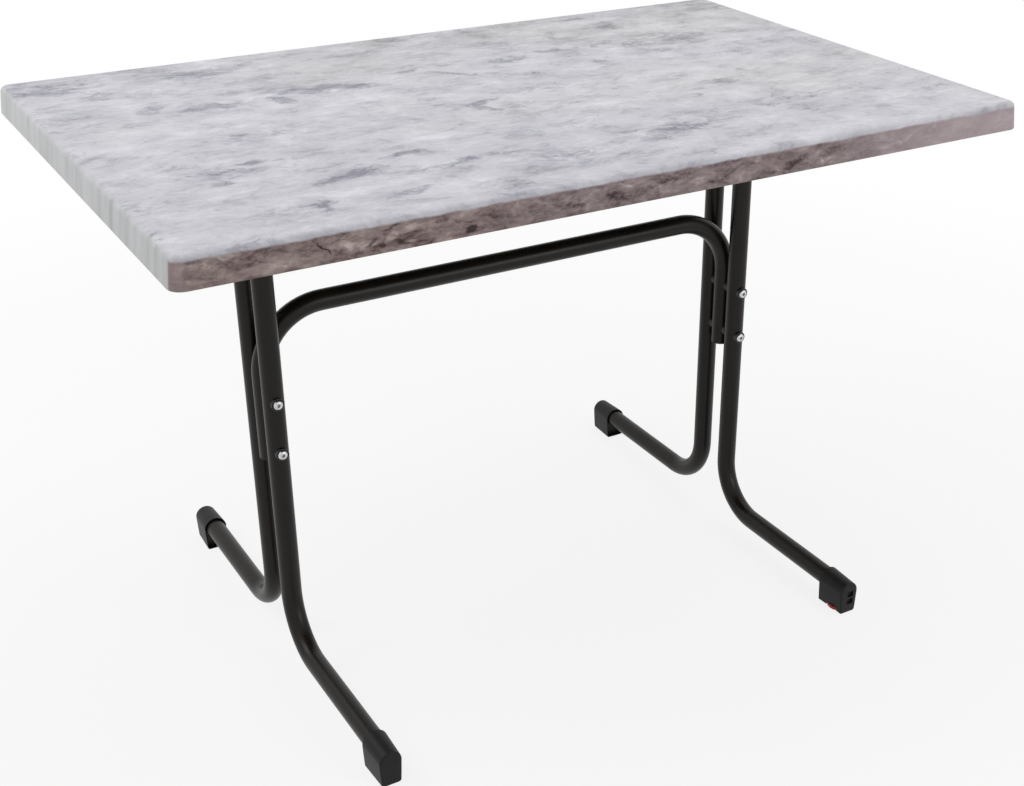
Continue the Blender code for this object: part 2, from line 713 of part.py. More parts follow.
def cut_levelling_cap(cap):
    """The pocket, the insert's hole and the two end slots of the levelling cap."""
    pocket = cylinder_mesh("pocket", WHEEL_RADIUS + POCKET_GAP, -CUTTER_OVERRUN,
                           POCKET_CEILING, 2 * WHEEL_TEETH)
    cut(cap, place_cutter("wheel_pocket", pocket, (LEG_X, WHEEL_Y, 0)))
    hole_radius = STEM_RADIUS + INSERT_WALL + 2 * FIT_GAP
    hole_top = POCKET_CEILING + max(INSERT_LENGTH, STEM_LENGTH) + FIT_GAP
    hole = cylinder_mesh("insert_hole", hole_radius, POCKET_CEILING - CUTTER_OVERRUN, hole_top)
    cut(cap, place_cutter("insert_hole", hole, (LEG_X, WHEEL_Y, 0)))
    slot = slot_mesh()
    for index, height in enumerate(CAP_SLOT_HEIGHTS):
        name = "end_slot_" + str(index + 1)
        cut(cap, place_cutter(name, slot, (LEG_X + CAP_SLOT_OFFSET, -FOOT_REACH, height)))


def add_levelling_glide():
    place("levelling_wheel", wheel_mesh(), red_material(), (LEG_X, WHEEL_Y, WHEEL_BOTTOM))
    place("levelling_pad", pad_mesh(), plastic_material(), (LEG_X, WHEEL_Y, FIT_GAP))
    place("levelling_insert", insert_mesh(), brass_material(), (LEG_X, WHEEL_Y, POCKET_CEILING))


def build_table():
    clear_scene()
    screw_cutters = add_screws()
    add_tabletop([cutter for row in screw_cutters.values() for cutter in row])
    add_frame(screw_cutters)
    add_bolts(add_tube_envelopes())
    add_plugs()
    add_foot_caps()
    add_levelling_glide()


build_table()
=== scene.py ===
"""Looks of a garden table: a moulded stone-look top on a bolted frame of bent steel tube.

Units are metres and +Z is up. X runs along the long side of the top, and the front is at -Y.
Every piece is built where its CAD node lies and replaces it. The levelling insert's node stays
and gets a material.
"""
import math

import bmesh
import bpy
from mathutils import Matrix, Vector


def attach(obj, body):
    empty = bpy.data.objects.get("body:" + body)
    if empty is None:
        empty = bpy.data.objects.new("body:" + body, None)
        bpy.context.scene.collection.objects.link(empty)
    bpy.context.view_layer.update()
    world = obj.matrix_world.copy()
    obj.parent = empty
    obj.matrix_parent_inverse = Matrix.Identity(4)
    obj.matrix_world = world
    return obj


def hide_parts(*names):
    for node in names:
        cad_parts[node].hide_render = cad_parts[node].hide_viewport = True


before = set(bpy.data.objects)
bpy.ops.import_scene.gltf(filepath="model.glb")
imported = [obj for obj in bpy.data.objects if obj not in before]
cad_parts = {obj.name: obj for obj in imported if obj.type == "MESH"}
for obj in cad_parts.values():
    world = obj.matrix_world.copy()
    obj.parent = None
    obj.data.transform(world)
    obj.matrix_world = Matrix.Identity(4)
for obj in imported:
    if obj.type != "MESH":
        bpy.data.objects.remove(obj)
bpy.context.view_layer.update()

# Clearance between pieces that touch
FIT_GAP = 0.0003

# Sizes of the top
TOP_LENGTH = 1.100
TOP_DEPTH = 0.700
TOP_HEIGHT = 0.720
EDGE_THICKNESS = 0.035
RECESS_DEPTH = 0.015
RIM_WIDTH = 0.030
RECESS_SLOPE = 0.006
PLAN_CORNER_RADIUS = 0.016
RECESS_CORNER_RADIUS = 0.010
UPPER_EDGE_ROUNDING = 0.008
LOWER_EDGE_ROUNDING = 0.0015
EDGE_DRAFT = 0.003
RECESS_ROUNDING = 0.0025

# Sizes of the frame
TUBE_RADIUS = 0.0135
TUBE_WALL = 0.0015
TUBE_SPACE = 0.005
LEG_X = 0.355
LEG_Y = 2 * TUBE_RADIUS + TUBE_SPACE
LEG_BEND_RADIUS = 0.073
FOOT_AXIS_HEIGHT = 0.034
FOOT_REACH = 0.335
ARM_REACH = 0.274
ARM_HEIGHT = TOP_HEIGHT - EDGE_THICKNESS + RECESS_DEPTH - FIT_GAP - TUBE_RADIUS
CROSSBAR_HEIGHT = 0.4935
CROSSBAR_DROP = 0.199
CROSSBAR_BEND_RADIUS = 0.084
TUBE_CROWN = LEG_Y + TUBE_RADIUS

# Sizes of the fasteners
BOLT_RADIUS = 0.003
BOLT_HEAD_RADIUS = 0.0062
BOLT_HEAD_HEIGHT = 0.0036
BOLT_HEAD_RIM = 0.0009
BOLT_CROWN_RADIUS = 0.0026
BOLT_END_CHAMFER = 0.0007
BOLT_SOCKET_WIDTH = 0.004
BOLT_SOCKET_DEPTH = 0.0022
SOCKET_CENTRE_RADIUS = 0.0006
SOCKET_CENTRE_DEPTH = 0.0005
BOLT_HEIGHTS = {"lower": 0.318, "upper": 0.388}
WASHER_RADIUS = 0.0085
WASHER_THICKNESS = 0.0024
WASHER_DISH_DEPTH = 0.0010
WASHER_RIM = 0.0014
SPACER_RADIUS = 0.0080
HEAD_SEAT = TUBE_CROWN + WASHER_THICKNESS - WASHER_DISH_DEPTH + 2 * FIT_GAP
SLEEVE_RADIUS = 0.0045
SLEEVE_LENGTH = 0.012
SLEEVE_HEAD_RADIUS = 0.0060
SLEEVE_HEAD_THICKNESS = 0.0012
SLEEVE_HEAD_ROUNDING = (0.0007, 0.0005)
SLEEVE_SOCKET_DEPTH = 0.002
SLEEVE_WEB = 0.0012
SLEEVE_TOP = FIT_GAP + SLEEVE_HEAD_THICKNESS
SLEEVE_BORE_END = SLEEVE_TOP - SLEEVE_SOCKET_DEPTH - SLEEVE_WEB
BOLT_END_SLACK = 0.001
BOLT_END = TUBE_CROWN + SLEEVE_BORE_END - BOLT_END_SLACK
SCREW_RADIUS = 0.0024
SCREW_HEAD_RADIUS = 0.0050
SCREW_HEAD_HEIGHT = 0.0028
SCREW_HEAD_RIM = 0.0011
SCREW_HEAD_ROUNDING = 0.0026
SCREW_RECESS_RADIUS = 0.0018
SCREW_RECESS_FLOOR_RADIUS = 0.0012
SCREW_RECESS_EDGE = 0.0001
SCREW_RECESS_DEPTH = 0.0016
SCREW_RECESS_LOBE = 0.16
SCREW_BITE = 0.013
SCREW_POINT_LENGTH = 0.0048
SCREW_POINT_RADIUS = 0.0006
SCREW_REACHES = {"outer": 0.244, "inner": 0.144}

# Sizes of the plastic pieces
PLUG_FLANGE = 0.003
PLUG_STEM = 0.014
PLUG_LEAD = 0.002
PLUG_EDGE = 0.001
CAP_LENGTH = 0.047
CAP_LIP = 0.0012
CAP_TAPER = 0.0017
CAP_FLANK_DRAFT = 0.0016
CAP_ROUNDING = 0.0022
CAP_SOLE_ROUNDING = 0.0035
CAP_MOUTH_GAP = 0.0018
CAP_MOUTH_DEPTH = 0.009
CAP_SOCKET_DEPTH = 0.036
CAP_SLOT = (0.0100, 0.0090, 0.004)
CAP_SLOT_OFFSET = 0.0025
CAP_SLOT_ROUNDING = 0.0006
CAP_SLOT_HEIGHTS = (0.0185, 0.0302)
WHEEL_RADIUS = 0.0168
WHEEL_THICKNESS = 0.0046
WHEEL_TEETH = 18
WHEEL_TOOTH_DEPTH = 0.0006
WHEEL_TOOTH_POWER = 0.7
WHEEL_CHAMFER = 0.0008
WHEEL_FACE_INSET = 0.0012
WHEEL_Y = -0.3153
WHEEL_BOTTOM = 0.0020
POCKET_GAP = 0.0004
POCKET_CEILING = 0.0069
INSERT_HOLE_RADIUS = 0.0060
INSERT_HOLE_DEPTH = 0.0103
CUTTER_OVERRUN = 0.004
STEM_RADIUS = 0.004
STEM_LENGTH = 0.0100
STEM_CHAMFER = 0.0006
PAD_RADIUS = 0.0100
PAD_THICKNESS = 0.0014
PAD_CHAMFER = 0.0005
PAD_SPIGOT_RADIUS = 0.0040
PAD_SPIGOT_LENGTH = 0.0022

# Smoothness, and the small softening of edges that are sharp in the CAD model
ROUND = 48
BEND_STEPS = 20
CORNER_STEPS = 14
CAP_ARCH_STEPS = 32
CAP_CORNER_STEPS = 6
SMOOTH_ANGLE = math.radians(32)
SOFT_EDGE = 0.0004
SMALL_EDGE = 0.0003
FINE_EDGE = 0.0002

# The photograph's frame in pixels
IMAGE_WIDTH = 1024
IMAGE_HEIGHT = 786

# The studio. The floor turns from shaded paper near the table to plain white far from it.
# FLOOR_FADE: two distances, then white's share at each. LAMPS: name, place, size, watts
FLOOR_RADIUS = 14
FLOOR_GREY = 0.86
FLOOR_FADE = (0.7, 2.2, 0.84, 1.0)
AMBIENT_STRENGTH = 0.42
LAMP_AIM = (0, 0, 0.5)
LAMPS = (("key", (-1.7, 0.9, 2.4), 1.8, 24),
         ("top", (0.8, 0.1, 3.0), 2.4, 20),
         ("fill", (1.2, -2.8, 1.4), 1.6, 17))

SIDES = {"left": -1, "right": 1}
ENDS = {"front": -1, "rear": 1}


def linear(red, green, blue):
    """Turn an 8-bit display colour into the linear values that a shader takes."""
    def channel(value):
        value = value / 255
        if value <= 0.04045:
            return value / 12.92
        return ((value + 0.055) / 1.055) ** 2.4
    return (channel(red), channel(green), channel(blue), 1.0)


class Nodes:
    """Short calls that add shader nodes to one new material."""

    def __init__(self, name, metallic=0.0):
        self.material = bpy.data.materials.new(name)
        self.material.use_nodes = True
        self.tree = self.material.node_tree
        self.tree.nodes.clear()
        self.shader = self.add("ShaderNodeBsdfPrincipled")
        self.surface = self.add("ShaderNodeOutputMaterial").inputs["Surface"]
        self.feed(self.surface, self.shader.outputs["BSDF"])
        self.shade("Metallic", metallic)
        coordinates = self.add("ShaderNodeTexCoord")
        self.place = coordinates.outputs["Object"]
        self.facing = coordinates.outputs["Normal"]

    def add(self, kind, **settings):
        node = self.tree.nodes.new(kind)
        for key, value in settings.items():
            setattr(node, key, value)
        return node

    def feed(self, socket, value):
        if isinstance(value, bpy.types.NodeSocket):
            self.tree.links.new(value, socket)
        else:
            socket.default_value = value

    def feed_all(self, node, values):
        for socket, value in zip(node.inputs, values):
            self.feed(socket, value)

    def shade(self, name, value):
        self.feed(self.shader.inputs[name], value)

    def math(self, operation, *values):
        node = self.add("ShaderNodeMath", operation=operation)
        self.feed_all(node, values)
        return node.outputs[0]

    def vector(self, operation, *values):
        node = self.add("ShaderNodeVectorMath", operation=operation)
        self.feed_all(node, values)
        return node.outputs["Value" if operation in ("LENGTH", "DOT_PRODUCT") else "Vector"]

    def split(self, value):
        node = self.add("ShaderNodeSeparateXYZ")
        self.feed(node.inputs[0], value)
        return node.outputs

    def combine(self, *values):
        node = self.add("ShaderNodeCombineXYZ")
        self.feed_all(node, values)
        return node.outputs[0]

    def noise(self, place, stretch, detail=3.0, roughness=0.5, offset=(0, 0, 0)):
        """Noise with its own number of lumps per metre along each axis."""
        node = self.add("ShaderNodeTexNoise")
        scaled = self.vector("MULTIPLY_ADD", place, stretch, offset)
        self.feed(node.inputs["Vector"], scaled)
        node.inputs["Scale"].default_value = 1.0
        node.inputs["Detail"].default_value = detail
        node.inputs["Roughness"].default_value = roughness
        return node.outputs

    def drift(self, place, *settings):
        """Noise for a place's shift along each axis, around zero."""
        return self.vector("SUBTRACT", self.noise(place, *settings)["Color"], (0.5, 0.5, 0.5))

    def hairline(self, place, stretch, offset, width):
        """Thin lines where a noise crosses its middle: 1 on a line and 0 beside it."""
        crest = self.noise(place, stretch, 4, 0.55, offset)["Fac"]
        crest = self.math("ABSOLUTE", self.math("SUBTRACT", crest, 0.5))
        return self.remap(crest, 0.0, width, 1.0, 0.0)

    def remap(self, value, low, high, to_low=0.0, to_high=1.0, kind="SMOOTHSTEP"):
        node = self.add("ShaderNodeMapRange", interpolation_type=kind)
        self.feed_all(node, (value, low, high, to_low, to_high))
        return node.outputs[0]

    def add_up(self, total, parts):
        """Add parts, each times its weight."""
        for part, weight in parts:
            total = self.math("MULTIPLY_ADD", part, weight, total)
        return total

    def sway(self, total, parts):
        """Add noises, each less its middle and times its weight."""
        return self.add_up(total, [(self.math("SUBTRACT", part, 0.5), weight)
                                   for part, weight in parts])

    def ramp(self, value, stops):
        node = self.add("ShaderNodeValToRGB")
        elements = node.color_ramp.elements
        while len(elements) < len(stops):
            elements.new(0.5)
        for element, (position, colour) in zip(elements, stops):
            element.position = position
            element.color = linear(*colour)
        self.feed(node.inputs[0], value)
        return node.outputs[0]

    def mix(self, factor, first, second):
        node = self.add("ShaderNodeMix", data_type="RGBA")
        self.feed(node.inputs["Factor"], factor)
        self.feed(node.inputs[6], first)
        self.feed(node.inputs[7], second)
        return node.outputs[2]

    def bump(self, height, distance, strength):
        node = self.add("ShaderNodeBump")
        node.inputs["Strength"].default_value = strength
        node.inputs["Distance"].default_value = distance
        self.feed(node.inputs["Height"], height)
        self.shade("Normal", node.outputs[0])

    def patch(self, place, x, y, half_x, half_y, degrees):
        """A soft oval spot: 1 in its middle and 0 at its edge."""
        mapping = self.add("ShaderNodeMapping", vector_type="TEXTURE")
        self.feed(mapping.inputs["Vector"], place)
        mapping.inputs["Location"].default_value = (x, y, 0)
        mapping.inputs["Rotation"].default_value = (0, 0, math.radians(degrees))
        mapping.inputs["Scale"].default_value = (half_x, half_y, 1)
        spot = self.add("ShaderNodeTexGradient", gradient_type="SPHERICAL")
        self.feed(spot.inputs[0], mapping.outputs[0])
        return spot.outputs["Fac"]

    def patches(self, place, spots):
        """The sum of several soft spots, each with its own strength."""
        return self.add_up(0.0, [
            (self.patch(place, *(size / 1000 for size in sizes), degrees), strength)
            for strength, *sizes, degrees in spots])


# Marks of the stone print on the top: strength, x, y, half sizes (all in mm), degrees
TOP_DARK = (
    (1.0, -205, 130, 75, 26, -12),
    (1.1, -262, 108, 32, 20, -30),
    (0.9, -165, 118, 40, 16, -20),
    (0.7, -345, 115, 70, 20, 4),
    (0.9, -410, 152, 30, 26, 35),
    (0.6, -290, 170, 50, 18, 0),
    (0.8, -70, 156, 34, 12, 14),
    (0.8, -20, 120, 50, 11, -46),
    (0.6, 60, 75, 45, 10, -18),
    (1.0, 225, 172, 45, 22, 0),
    (0.9, 150, 165, 50, 14, 0),
    (0.9, 82, 150, 42, 24, -10),
    (1.0, 178, 82, 18, 12, 12),
    (0.6, 330, 140, 100, 60, 24),
    (0.5, 200, 245, 16, 34, -20),
    (0.5, 300, 250, 22, 50, -24),
    (0.4, 440, 250, 18, 36, -30),
    (0.7, -100, 22, 42, 13, 24),
    (1.1, -60, -26, 26, 18, 0),
    (1.0, -30, -16, 26, 7, 12),
    (0.8, -50, -50, 20, 10, -50),
    (0.6, 20, -86, 55, 8, 8),
    (0.5, 60, -10, 60, 8, -14),
    (1.2, -380, -110, 24, 9, 14),
    (1.0, -352, -116, 14, 8, -20),
    (0.5, -430, -128, 70, 12, -4),
    (0.6, -435, -165, 12, 18, 10),
    (1.1, -225, -168, 40, 10, 4),
    (1.0, -300, -205, 50, 20, 14),
    (0.6, -200, -225, 100, 18, 6),
    (0.8, 262, -86, 46, 14, -14),
    (0.8, 215, -115, 30, 14, 48),
    (0.8, 338, -46, 14, 14, 30),
    (0.8, 42, -215, 36, 10, -14),
    (0.6, 110, -235, 120, 30, 6),
    (0.6, -50, -255, 80, 16, 0),
    (0.6, 320, -190, 110, 20, 8),
    (0.6, -265, -285, 50, 10, 24),
    (0.6, -365, -290, 10, 36, -22),
    (1.2, -540, -275, 16, 9, 0),
    (0.8, -545, -295, 12, 8, 30),
    (0.7, -485, 290, 90, 40, 4),
    (0.6, -330, 275, 60, 40, 10),
    (0.5, -460, 235, 40, 30, 60),
    (0.4, 90, 320, 200, 20, 4),
    (0.5, 260, 315, 80, 12, 6),
    (0.5, 505, 290, 40, 60, -30),
    (0.5, 380, 40, 90, 16, 10),
    (0.5, 510, 20, 30, 16, 50),
)
TOP_PALE = (
    (0.9, -18, 48, 50, 24, 0),
    (0.8, -230, -135, 90, 12, 6),
    (0.8, -170, -120, 60, 12, 0),
    (0.9, 85, -100, 50, 22, 0),
    (0.8, 100, -130, 22, 14, -20),
    (0.8, -10, -165, 60, 20, 0),
    (0.9, -335, -275, 26, 42, -22),
    (0.4, -400, -290, 120, 40, 0),
    (0.9, -215, -285, 50, 16, -24),
    (0.9, -112, -215, 16, 16, 0),
    (0.8, 285, 78, 36, 20, 0),
    (0.8, 420, 90, 34, 18, 16),
    (0.9, 245, 135, 24, 10, -10),
    (0.8, 385, 225, 36, 18, 0),
    (0.7, 300, 290, 60, 16, 6),
    (0.6, -245, 275, 50, 24, 0),
    (0.6, -130, 200, 40, 18, 0),
    (0.7, -360, 185, 20, 16, 0),
    (0.7, -470, -165, 70, 12, 3),
    (0.7, -440, -200, 70, 10, 6),
    (0.8, 450, -40, 60, 24, 18),
    (0.6, 400, -95, 110, 10, 14),
    (0.6, 470, -140, 90, 12, 6),
    (0.6, 460, -235, 100, 12, 12),
    (0.9, 525, -330, 34, 18, 0),
    (0.6, 420, -320, 70, 14, 10),
    (0.6, -375, 30, 90, 14, 0),
    (0.5, -300, -30, 80, 30, 0),
    (0.5, -20, -70, 20, 20, 0),
    (0.5, 260, -10, 60, 20, 0),
)

# Marks on the long edges: strength, x, height from the middle, half sizes (in mm), degrees
EDGE_DARK = (
    (2.0, -396, -1.5, 17, 1.6, -52),
    (0.8, -425, 12, 20, 3, -8),
    (0.8, -458, -5, 14, 2.2, -34),
    (0.7, -445, -9.5, 22, 2, 4),
    (1.7, -337, -8.6, 13, 5.2, 8),
    (1.5, -347, -5, 8, 3.2, 40),
    (1.4, -321, 9.5, 20, 2.6, 18),
    (1.0, -309, -10, 10, 4, -30),
    (0.9, -276, 4, 14, 2.6, 24),
    (1.0, -262, 15, 24, 3, 2),
    (1.9, -234, -10, 8, 5.6, 20),
    (0.9, -250, -1, 12, 2.4, -38),
    (0.7, -205, 6, 18, 4, -20),
    (0.6, -105, -6, 30, 6, -10),
    (0.6, -62, -3, 20, 7, -20),
    (0.6, 5, -2, 26, 10, 0),
    (0.5, 25, 12, 50, 3.6, 0),
    (0.5, 72, -9, 40, 6, 4),
    (0.6, 110, 11, 40, 3.4, -4),
    (0.7, 165, -11.5, 38, 5, -3),
    (0.7, 195, -4, 24, 8, 10),
    (0.6, 270, 1, 22, 2.6, 26),
    (0.4, 300, 12, 40, 2.4, -4),
    (0.5, 392, 4, 20, 3, 32),
    (0.4, 425, 1, 12, 2.4, 30),
    (0.3, 455, -12, 40, 2.6, 4),
)
EDGE_PALE = (
    (1.3, -542, 0, 7, 20, 0),
    (0.5, -490, 4, 50, 14, -4),
    (0.8, -376, 1, 24, 11, -16),
    (1.0, -350, -7, 12, 6, 10),
    (2.0, -322, -1, 10, 6, 14),
    (1.6, -299, -11, 8, 3.4, -20),
    (1.1, -302, 4, 12, 6, -40),
    (0.8, -214, -9, 14, 6, 30),
    (0.7, -160, 5, 22, 5, -12),
    (1.0, -46, 5.5, 16, 3.4, -16),
    (1.1, 41, 1.2, 5, 2.6, 0),
    (1.4, 52, 10.5, 3.6, 2.2, 0),
    (0.8, 88, 3, 14, 2.6, 20),
    (0.8, 130, 4, 16, 4, 32),
    (0.9, 235, -8, 20, 4, 14),
    (1.0, 335, -6, 42, 5, 6),
    (1.1, 372, 4, 30, 4, 24),
    (1.0, 405, 8.5, 14, 4, 40),
    (0.9, 455, 0, 40, 8, -6),
    (1.0, 525, 0, 34, 16, 0),
)


def stone_face(nodes, sheet):
    """Colour and relief of the pale upper side, with its clouds, wisps and hairlines."""
    drift = nodes.drift(sheet, (8, 11, 1))
    place = nodes.vector("MULTIPLY_ADD", drift, (0.060, 0.040, 0.0), sheet)
    shiver = nodes.drift(sheet, (40, 56, 1), 4, 0.62)
    torn = nodes.vector("MULTIPLY_ADD", shiver, (0.034, 0.022, 0.0), place)

    broad = nodes.noise(place, (5, 8, 1), 3)["Fac"]
    clouds = nodes.noise(torn, (15, 26, 1), 6, 0.6)["Fac"]
    grain = nodes.noise(torn, (70, 120, 1), 5, 0.7)["Fac"]
    fleck = nodes.noise(sheet, (300, 460, 1), 3, 0.6)["Fac"]
    uneven = nodes.math("SUBTRACT", nodes.math("MULTIPLY_ADD", grain, 0.6, clouds), 0.8)

    def marks(spots, sharpness):
        return nodes.remap(nodes.add_up(spots, [(uneven, sharpness)]), 0.02, 1.00)

    dark_spots = nodes.patches(torn, TOP_DARK)
    dark = marks(dark_spots, -2.0)
    pale = marks(nodes.patches(torn, TOP_PALE), 1.9)
    somewhere = nodes.remap(nodes.noise(sheet, (8, 12, 1), 3, offset=(3, 8, 0))["Fac"], 0.48, 0.60)
    line = nodes.math("MULTIPLY", nodes.hairline(torn, (11, 21, 1), (5, 3, 0), 0.024), somewhere)
    fine = nodes.hairline(torn, (30, 64, 1), (2, 6, 0), 0.050)
    crackle = nodes.math("MULTIPLY", fine, nodes.remap(dark_spots, -0.05, 0.40, 0.12, 1.0))

    tone = nodes.sway(0.575, ((broad, 0.50), (clouds, 0.98), (grain, 0.62), (fleck, 0.20)))
    tone = nodes.add_up(tone, ((dark, -0.38), (pale, 0.20), (line, -0.20), (crackle, -0.26)))
    tone = nodes.math("SUBTRACT", tone, nodes.remap(nodes.split(sheet)[1], 0.08, 0.33, 0.0, 0.11))
    cool = nodes.ramp(tone, ((0.0, (132, 131, 144)), (0.28, (171, 170, 181)),
                             (0.52, (197, 196, 204)), (0.78, (216, 215, 222)),
                             (1.0, (230, 229, 235))))
    warm = nodes.ramp(tone, ((0.0, (136, 136, 141)), (0.28, (173, 173, 177)),
                             (0.52, (197, 197, 201)), (0.78, (215, 215, 218)),
                             (1.0, (229, 229, 231))))
    patchy = nodes.noise(place, (4, 6, 1), 3, offset=(9, 2, 0))["Fac"]
    side = nodes.vector("DOT_PRODUCT", sheet, (0.25, 0.40, 0.0))
    warmth = nodes.remap(nodes.math("ADD", patchy, side), 0.40, 0.76)
    return nodes.mix(warmth, cool, warm), grain, clouds


def earth_face(nodes, x, z):
    """Colour of the brown marbled long edges."""
    edge = nodes.combine(x, nodes.math("SUBTRACT", z, TOP_HEIGHT - EDGE_THICKNESS / 2), 0.0)
    drift = nodes.drift(edge, (36, 70, 1), 4, 0.6)
    place = nodes.vector("MULTIPLY_ADD", drift, (0.030, 0.013, 0.0), edge)
    blotch = nodes.noise(place, (26, 60, 1), 6, 0.62)["Fac"]
    speck = nodes.noise(place, (120, 220, 1), 4, 0.65)["Fac"]
    slant = nodes.vector("DOT_PRODUCT", place, (24, 120, 0))
    along = nodes.vector("DOT_PRODUCT", place, (26, -6, 0))
    streak = nodes.noise(nodes.combine(slant, along, 0.0), (1, 1, 1), 4, 0.6)["Fac"]

    uneven = nodes.math("SUBTRACT", nodes.math("MULTIPLY_ADD", speck, 0.7, blotch), 0.85)
    gentle = nodes.vector("MULTIPLY_ADD", drift, (0.020, 0.009, 0.0), edge)
    dark = nodes.add_up(nodes.patches(gentle, EDGE_DARK), [(uneven, -2.6)])
    dark = nodes.remap(dark, 0.10, 1.6)
    pale = nodes.add_up(nodes.patches(gentle, EDGE_PALE), [(uneven, 1.3)])
    pale = nodes.remap(pale, 0.05, 1.1)
    crack = nodes.math("MULTIPLY", nodes.hairline(place, (30, 62, 1), (4, 7, 0), 0.035),
                       nodes.remap(blotch, 0.55, 0.44))
    earth = nodes.sway(0.57, ((blotch, 1.4), (speck, 0.6), (streak, 0.45)))
    earth = nodes.add_up(earth, ((crack, -0.13), (dark, -0.62), (pale, 0.28)))
    mauve = nodes.ramp(earth, ((0.0, (50, 32, 34)), (0.25, (92, 75, 77)), (0.50, (126, 109, 110)),
                               (0.75, (158, 141, 142)), (1.0, (198, 184, 184))))
    tan = nodes.ramp(earth, ((0.0, (40, 24, 20)), (0.25, (92, 73, 66)), (0.50, (131, 113, 107)),
                             (0.75, (168, 152, 140)), (1.0, (208, 192, 174))))
    shift = nodes.noise(edge, (10, 26, 1), 3, offset=(1, 0, 5))["Fac"]
    leftward = nodes.remap(nodes.math("MULTIPLY_ADD", shift, -0.25, x), -0.42, -0.22, 0.42, 0.0)
    faded = nodes.remap(x, 0.18, 0.46, 0.0, 0.72)
    blush = nodes.remap(x, -0.530, -0.541, 0.0, 0.75)
    colour = nodes.mix(faded, nodes.mix(leftward, mauve, tan), linear(190, 175, 179))
    return nodes.mix(blush, colour, linear(168, 149, 150))


def decor_material():
    """The printed stone look of the top: pale above, brown along the long edges, and streaked
    over the short ends, with a dark backing below."""
    nodes = Nodes("stone_print")
    x, y, z = nodes.split(nodes.place)[:3]
    facing_x, facing_y, facing_z = nodes.split(nodes.facing)[:3]

    # The print runs over the short ends, so a place there counts the way down as length
    drop = nodes.math("SUBTRACT", TOP_HEIGHT, z)
    run = nodes.math("MULTIPLY_ADD", nodes.math("SIGN", x), drop, x)
    sheet = nodes.combine(run, y, 0.0)
    above, grain, clouds = stone_face(nodes, sheet)
    streaks = nodes.noise(sheet, (5, 42, 1), 5, 0.6)["Fac"]
    ends = nodes.ramp(streaks, ((0.25, (164, 167, 165)), (0.42, (196, 198, 197)),
                                (0.58, (209, 210, 210)), (0.78, (221, 222, 222))))
    tint = nodes.remap(nodes.math("ABSOLUTE", facing_x), 0.35, 0.8)
    above = nodes.mix(nodes.math("MULTIPLY", tint, 0.8), above, ends)

    # The brown print starts along a slightly wavy line, where the upper rounding ends
    wave = nodes.noise(nodes.combine(x, y, 0.0), (34, 34, 1), 4, 0.6)["Fac"]
    depth = nodes.math("MULTIPLY_ADD", wave, 0.0050, drop)
    low = nodes.remap(depth, 0.0070, 0.0104)
    long_side = nodes.remap(nodes.math("ABSOLUTE", facing_y), 0.26, 0.36)
    brown = nodes.math("MULTIPLY", low, long_side)
    colour = nodes.mix(brown, above, earth_face(nodes, x, z))

    # The backing below and on the walls of the recess
    fleck = nodes.noise(nodes.place, (260, 260, 260), 3, 0.6)["Fac"]
    backing = nodes.ramp(fleck, ((0.3, (58, 53, 50)), (0.7, (76, 71, 67))))
    under = nodes.remap(facing_z, -0.80, -0.55, 1.0, 0.0)
    recess = nodes.math("GREATER_THAN", drop, EDGE_THICKNESS / 2)
    for across, size in ((x, TOP_LENGTH), (y, TOP_DEPTH)):
        inside = nodes.math("LESS_THAN", nodes.math("ABSOLUTE", across), (size - RIM_WIDTH) / 2)
        recess = nodes.math("MULTIPLY", recess, inside)
    colour = nodes.mix(nodes.math("MAXIMUM", under, recess), colour, backing)
    nodes.shade("Base Color", colour)

    shine = nodes.remap(grain, 0.3, 0.7, 0.40, 0.52, "LINEAR")
    nodes.shade("Roughness", shine)
    nodes.shade("Specular IOR Level", 0.32)
    height = nodes.math("MULTIPLY_ADD", clouds, 0.6, nodes.math("MULTIPLY", grain, 0.4))
    nodes.bump(height, 0.0006, 0.3)
    return nodes.material


def tube_material():
    """Black powder coat with a faint orange peel."""
    nodes = Nodes("black_powder_coat")
    peel = nodes.noise(nodes.place, (420, 420, 420), 2, 0.5)["Fac"]
    cloud = nodes.noise(nodes.place, (16, 16, 9), 4, 0.6)["Fac"]
    colour = nodes.ramp(cloud, ((0.30, (18, 14, 9)), (0.55, (24, 19, 13)), (0.80, (31, 26, 19))))
    dust = nodes.remap(nodes.noise(nodes.place, (900, 900, 900), 2, 0.6)["Fac"], 0.62, 0.74)
    colour = nodes.mix(nodes.math("MULTIPLY", dust, 0.2), colour, linear(70, 66, 60))
    nodes.shade("Base Color", colour)
    nodes.shade("Roughness", nodes.remap(cloud, 0.3, 0.7, 0.29, 0.38, "LINEAR"))
    nodes.shade("Specular IOR Level", 0.22)
    nodes.bump(peel, 0.00005, 0.5)
    return nodes.material


def plastic_material(name, dark, light, roughness, gloss=0.5):
    """Moulded plastic with a fine spark-eroded grain."""
    nodes = Nodes(name)
    nodes.shade("Specular IOR Level", gloss)
    grain = nodes.noise(nodes.place, (1500, 1500, 1500), 2, 0.6)["Fac"]
    cloud = nodes.noise(nodes.place, (55, 55, 55), 3, 0.6)["Fac"]
    colour = nodes.ramp(cloud, ((0.3, dark), (0.75, light)))
    nodes.shade("Base Color", colour)
    nodes.shade("Roughness",
                nodes.remap(grain, 0.3, 0.7, roughness - 0.06, roughness + 0.06, "LINEAR"))
    nodes.bump(grain, 0.00008, 0.6)
    return nodes.material


